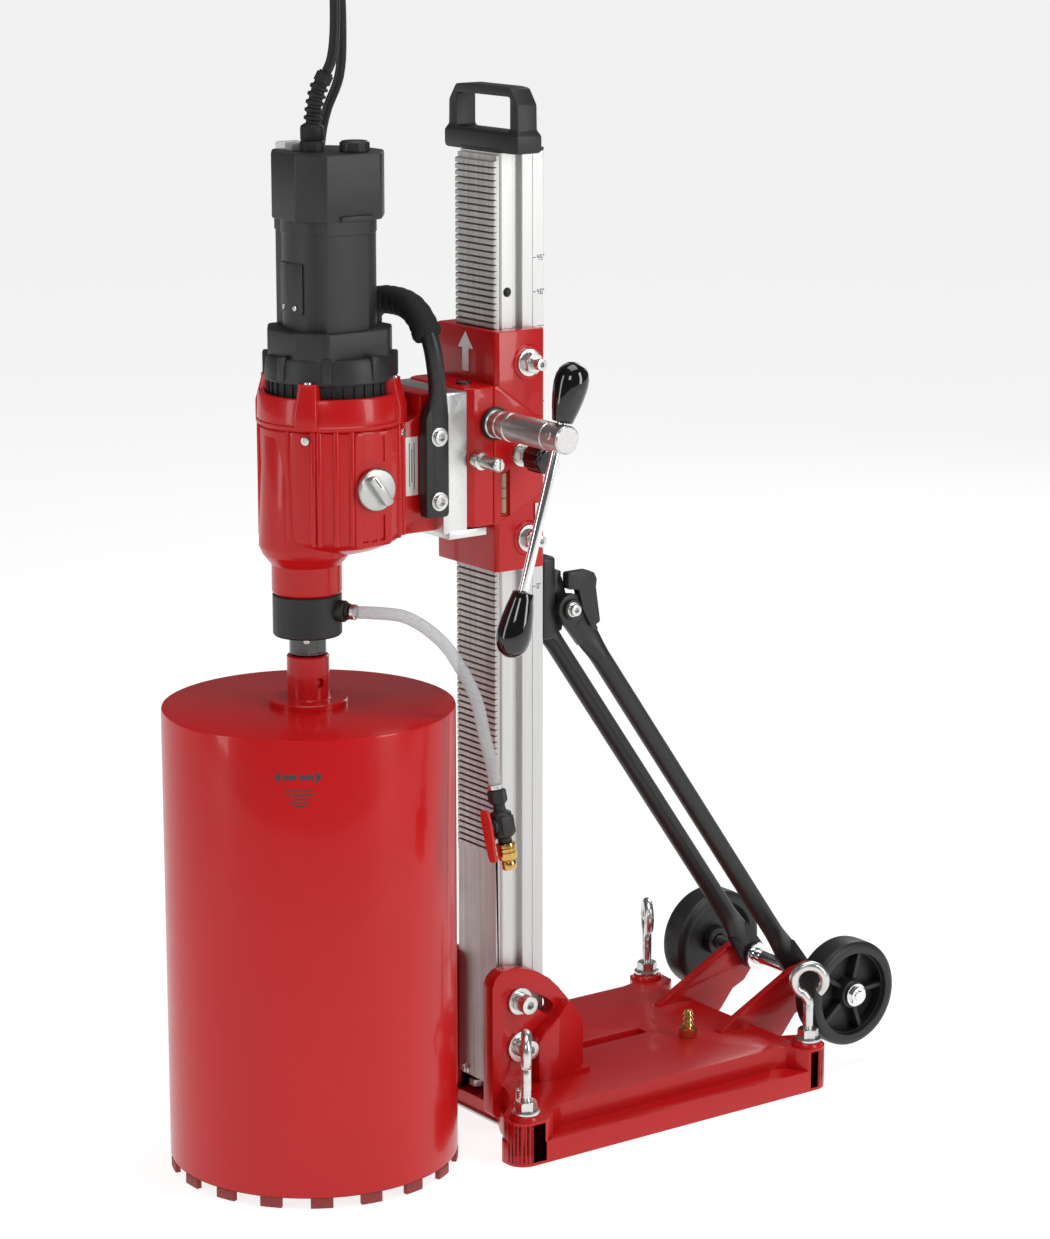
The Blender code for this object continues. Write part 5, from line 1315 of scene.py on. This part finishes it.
# ---------------------------------------------------------------- spindle, water ring, bit
def make_tool():
    spindle = lathe([(0, 624.8), (19.6, 624), (19.6, 609), (16.4, 607), (16.4, 470), (15.6, 467.5),
                     (15.6, 452), (14.8, 451), (0, 451)], 56, BIT, soft=0.4)
    spindle = cut(spindle, block(13.6, 30, -220, -180, 453, 465), block(-30, -13.6, -220, -180, 453, 465))
    piece("drill_spindle", spindle, "tool", "dark_steel", ("spindle",))
    pin = Vector((0.808, -0.589, 0.0))
    piece("spindle_pin", socket_head((0, BIT[1], 464.5), pin, 2.6, 14.0, 17.2, 2.4, 1.4, 20), "tool",
          "zinc")
    turn = lathe([(17.0, 503.8), (28.2, 503.8), (29.3, 502.6), (29.3, 469.4), (28.2, 468), (17.0, 468)], 72,
                 BIT, closed=True)
    start = Vector((0, BIT[1], 490.0))
    boss = lathe([(0, 36), (8.4, 36), (9.2, 35), (9.2, 24), (0, 24)], 32, start, BARB, soft=0.5)
    piece("water_swivel", gathered(turn, boss), "carriage", "moulded_black",
          ("water_ring",))
    barb = gathered(hexagon(start, BARB, 13.0, 35.6, 39.4), rod(start, BARB, 4.4, 35, 40.6, 24))
    piece("swivel_barb", barb, "carriage", "moulded_black")
    hub = lathe([(0, 450.5), (16.8, 450.5), (18, 449.4), (18, 414), (19.2, 412.6), (32.6, 412.6),
                 (33.5, 411.8), (33.5, 407), (123.2, 407), (124.5, 406.4), (125, 405), (125, 10.6),
                 (121, 10.6), (121, 402), (0, 402)], 160, BIT)
    hub = cut(hub, rod((0, BIT[1], 428), (1, 0, 0), 4.5, 14, 30, 24, 0),
              rod((0, BIT[1], 428), (-1, 0, 0), 4.5, 14, 30, 24, 0))
    piece("bit_barrel", hub, "tool", "bit_red", ("core_bit",))
    crown = [lathe([(124.9, 10.9), (124.9, 9.9), (121.1, 9.9), (121.1, 10.9)], 160, BIT, closed=True)]
    for k in range(18):
        mid = 360.0 * (k + 0.5) / 18
        outer = [polar(125.3, mid - 4.4 + 8.8 * i / 5, BIT) for i in range(6)]
        inner = [polar(120.7, mid + 4.4 - 8.8 * i / 5, BIT) for i in range(6)]
        crown.append(prism(outer + inner, 0.8, 9.8, "z", 0.5, 2, 50.0))
    piece("segment_crown", gathered(*crown), "tool", "sintered", ("bit_segments",))
    prints = [wrap_bar(-36.5, 10.2, z, 0.7) for z in (364.6, 361.2)] + [wrap_bar(-36.5, w, z, 0.6) for w,
            z in
                                                                      ((6.0, 357.6), (7.6, 354.6),
                                                                              (5.0, 351.6))]
    prints += [wrap_bar(-40.0 + 0.0, 5.4, 376.0, 2.0), wrap_bar(-33.6, 5.4, 376.0, 2.0)]
    prints += [wrap_arrow(-29.9, 376.0, 1), wrap_arrow(-43.8, 376.0, -1)]
    piece("turning_mark", gathered(*prints), "tool", "print_black")


def wrap_bar(middle, width, z, half, low=124.9, high=125.12):
    """Printed line on the barrel: its middle angle, width in degrees, height and half thickness."""
    steps = 8
    angles = [middle - width / 2 + width * k / steps for k in range(steps + 1)]
    outer = [polar(high, a, BIT) for a in angles]
    inner = [polar(low, a, BIT) for a in reversed(angles)]
    return prism(outer + inner, z - half, z + half, "z")


def wrap_arrow(at, z, way):
    """Printed arrow head on the barrel made of short stripes."""
    return gathered(*[wrap_bar(at + way * k * 0.42, 0.44, z, 5.0 - k * 1.0) for k in range(5)])


def finish_nodes():
    """CAD nodes that stay shown take a finish of their own."""
    kept = {"base_seal": "soft_rubber", "guide_shoe_right": "brass", "guide_shoe_left": "brass",
            "armature": "zinc"}
    for name, finish in kept.items():
        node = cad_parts[name]
        for slot in node.material_slots:
            slot.material = FINISHES[finish]


make_studio()
FINISHES.update({
    "red_enamel": red_enamel(), "cast_red": casting_red(), "bit_red": red_enamel("bit_red",
            (0.56, 0.006, 0.008), 0.05), "powder_black": powder_black(),
            "wheel_black": powder_black("wheel_black", (0.012, 0.0125, 0.0125), 0.42),
            "moulded_black": moulded_black(), "gloss_black": gloss_black(), "soft_rubber": soft_rubber(),
            "cord_rubber": soft_rubber("cord_rubber", (0.008, 0.008, 0.008), 0.45),
            "foam": soft_rubber("foam", (0.010, 0.010, 0.0105), 0.75), "anodised": anodised(),
            "anodised_cast": brushed_metal("anodised_cast", (0.74, 0.74, 0.73), 0.34, 0, 500.0, 0.08),
            "zinc": zinc(), "dark_steel": zinc("dark_steel", (0.10, 0.10, 0.10), 0.26),
            "satin_steel": brushed_metal("satin_steel", (0.64, 0.63, 0.62), 0.34, 0, 600.0, 0.10),
            "chrome": turned_chrome(), "brass": brass(), "rack_steel": rack_steel(), "sintered": sintered(),
            "braided_hose": braided_hose(), "vial_liquid": vial_liquid(), "clear_plastic": clear_plastic(),
            "paper_label": paper_label(), "print_black": print_black(), "print_white": plain_white(),
            "lever_red": red_enamel("lever_red", (0.55, 0.02, 0.015), 0.15),
            "knob_grey": zinc("knob_grey", (0.52, 0.52, 0.50), 0.34), })
make_cord()
make_hose()
make_base()
make_base_fasteners()
make_wheels()
make_struts()
make_column()
make_carriage()
make_knobs()
make_crank()
make_gearbox()
make_motor()
make_carry_handle()
make_tool()
finish_nodes()
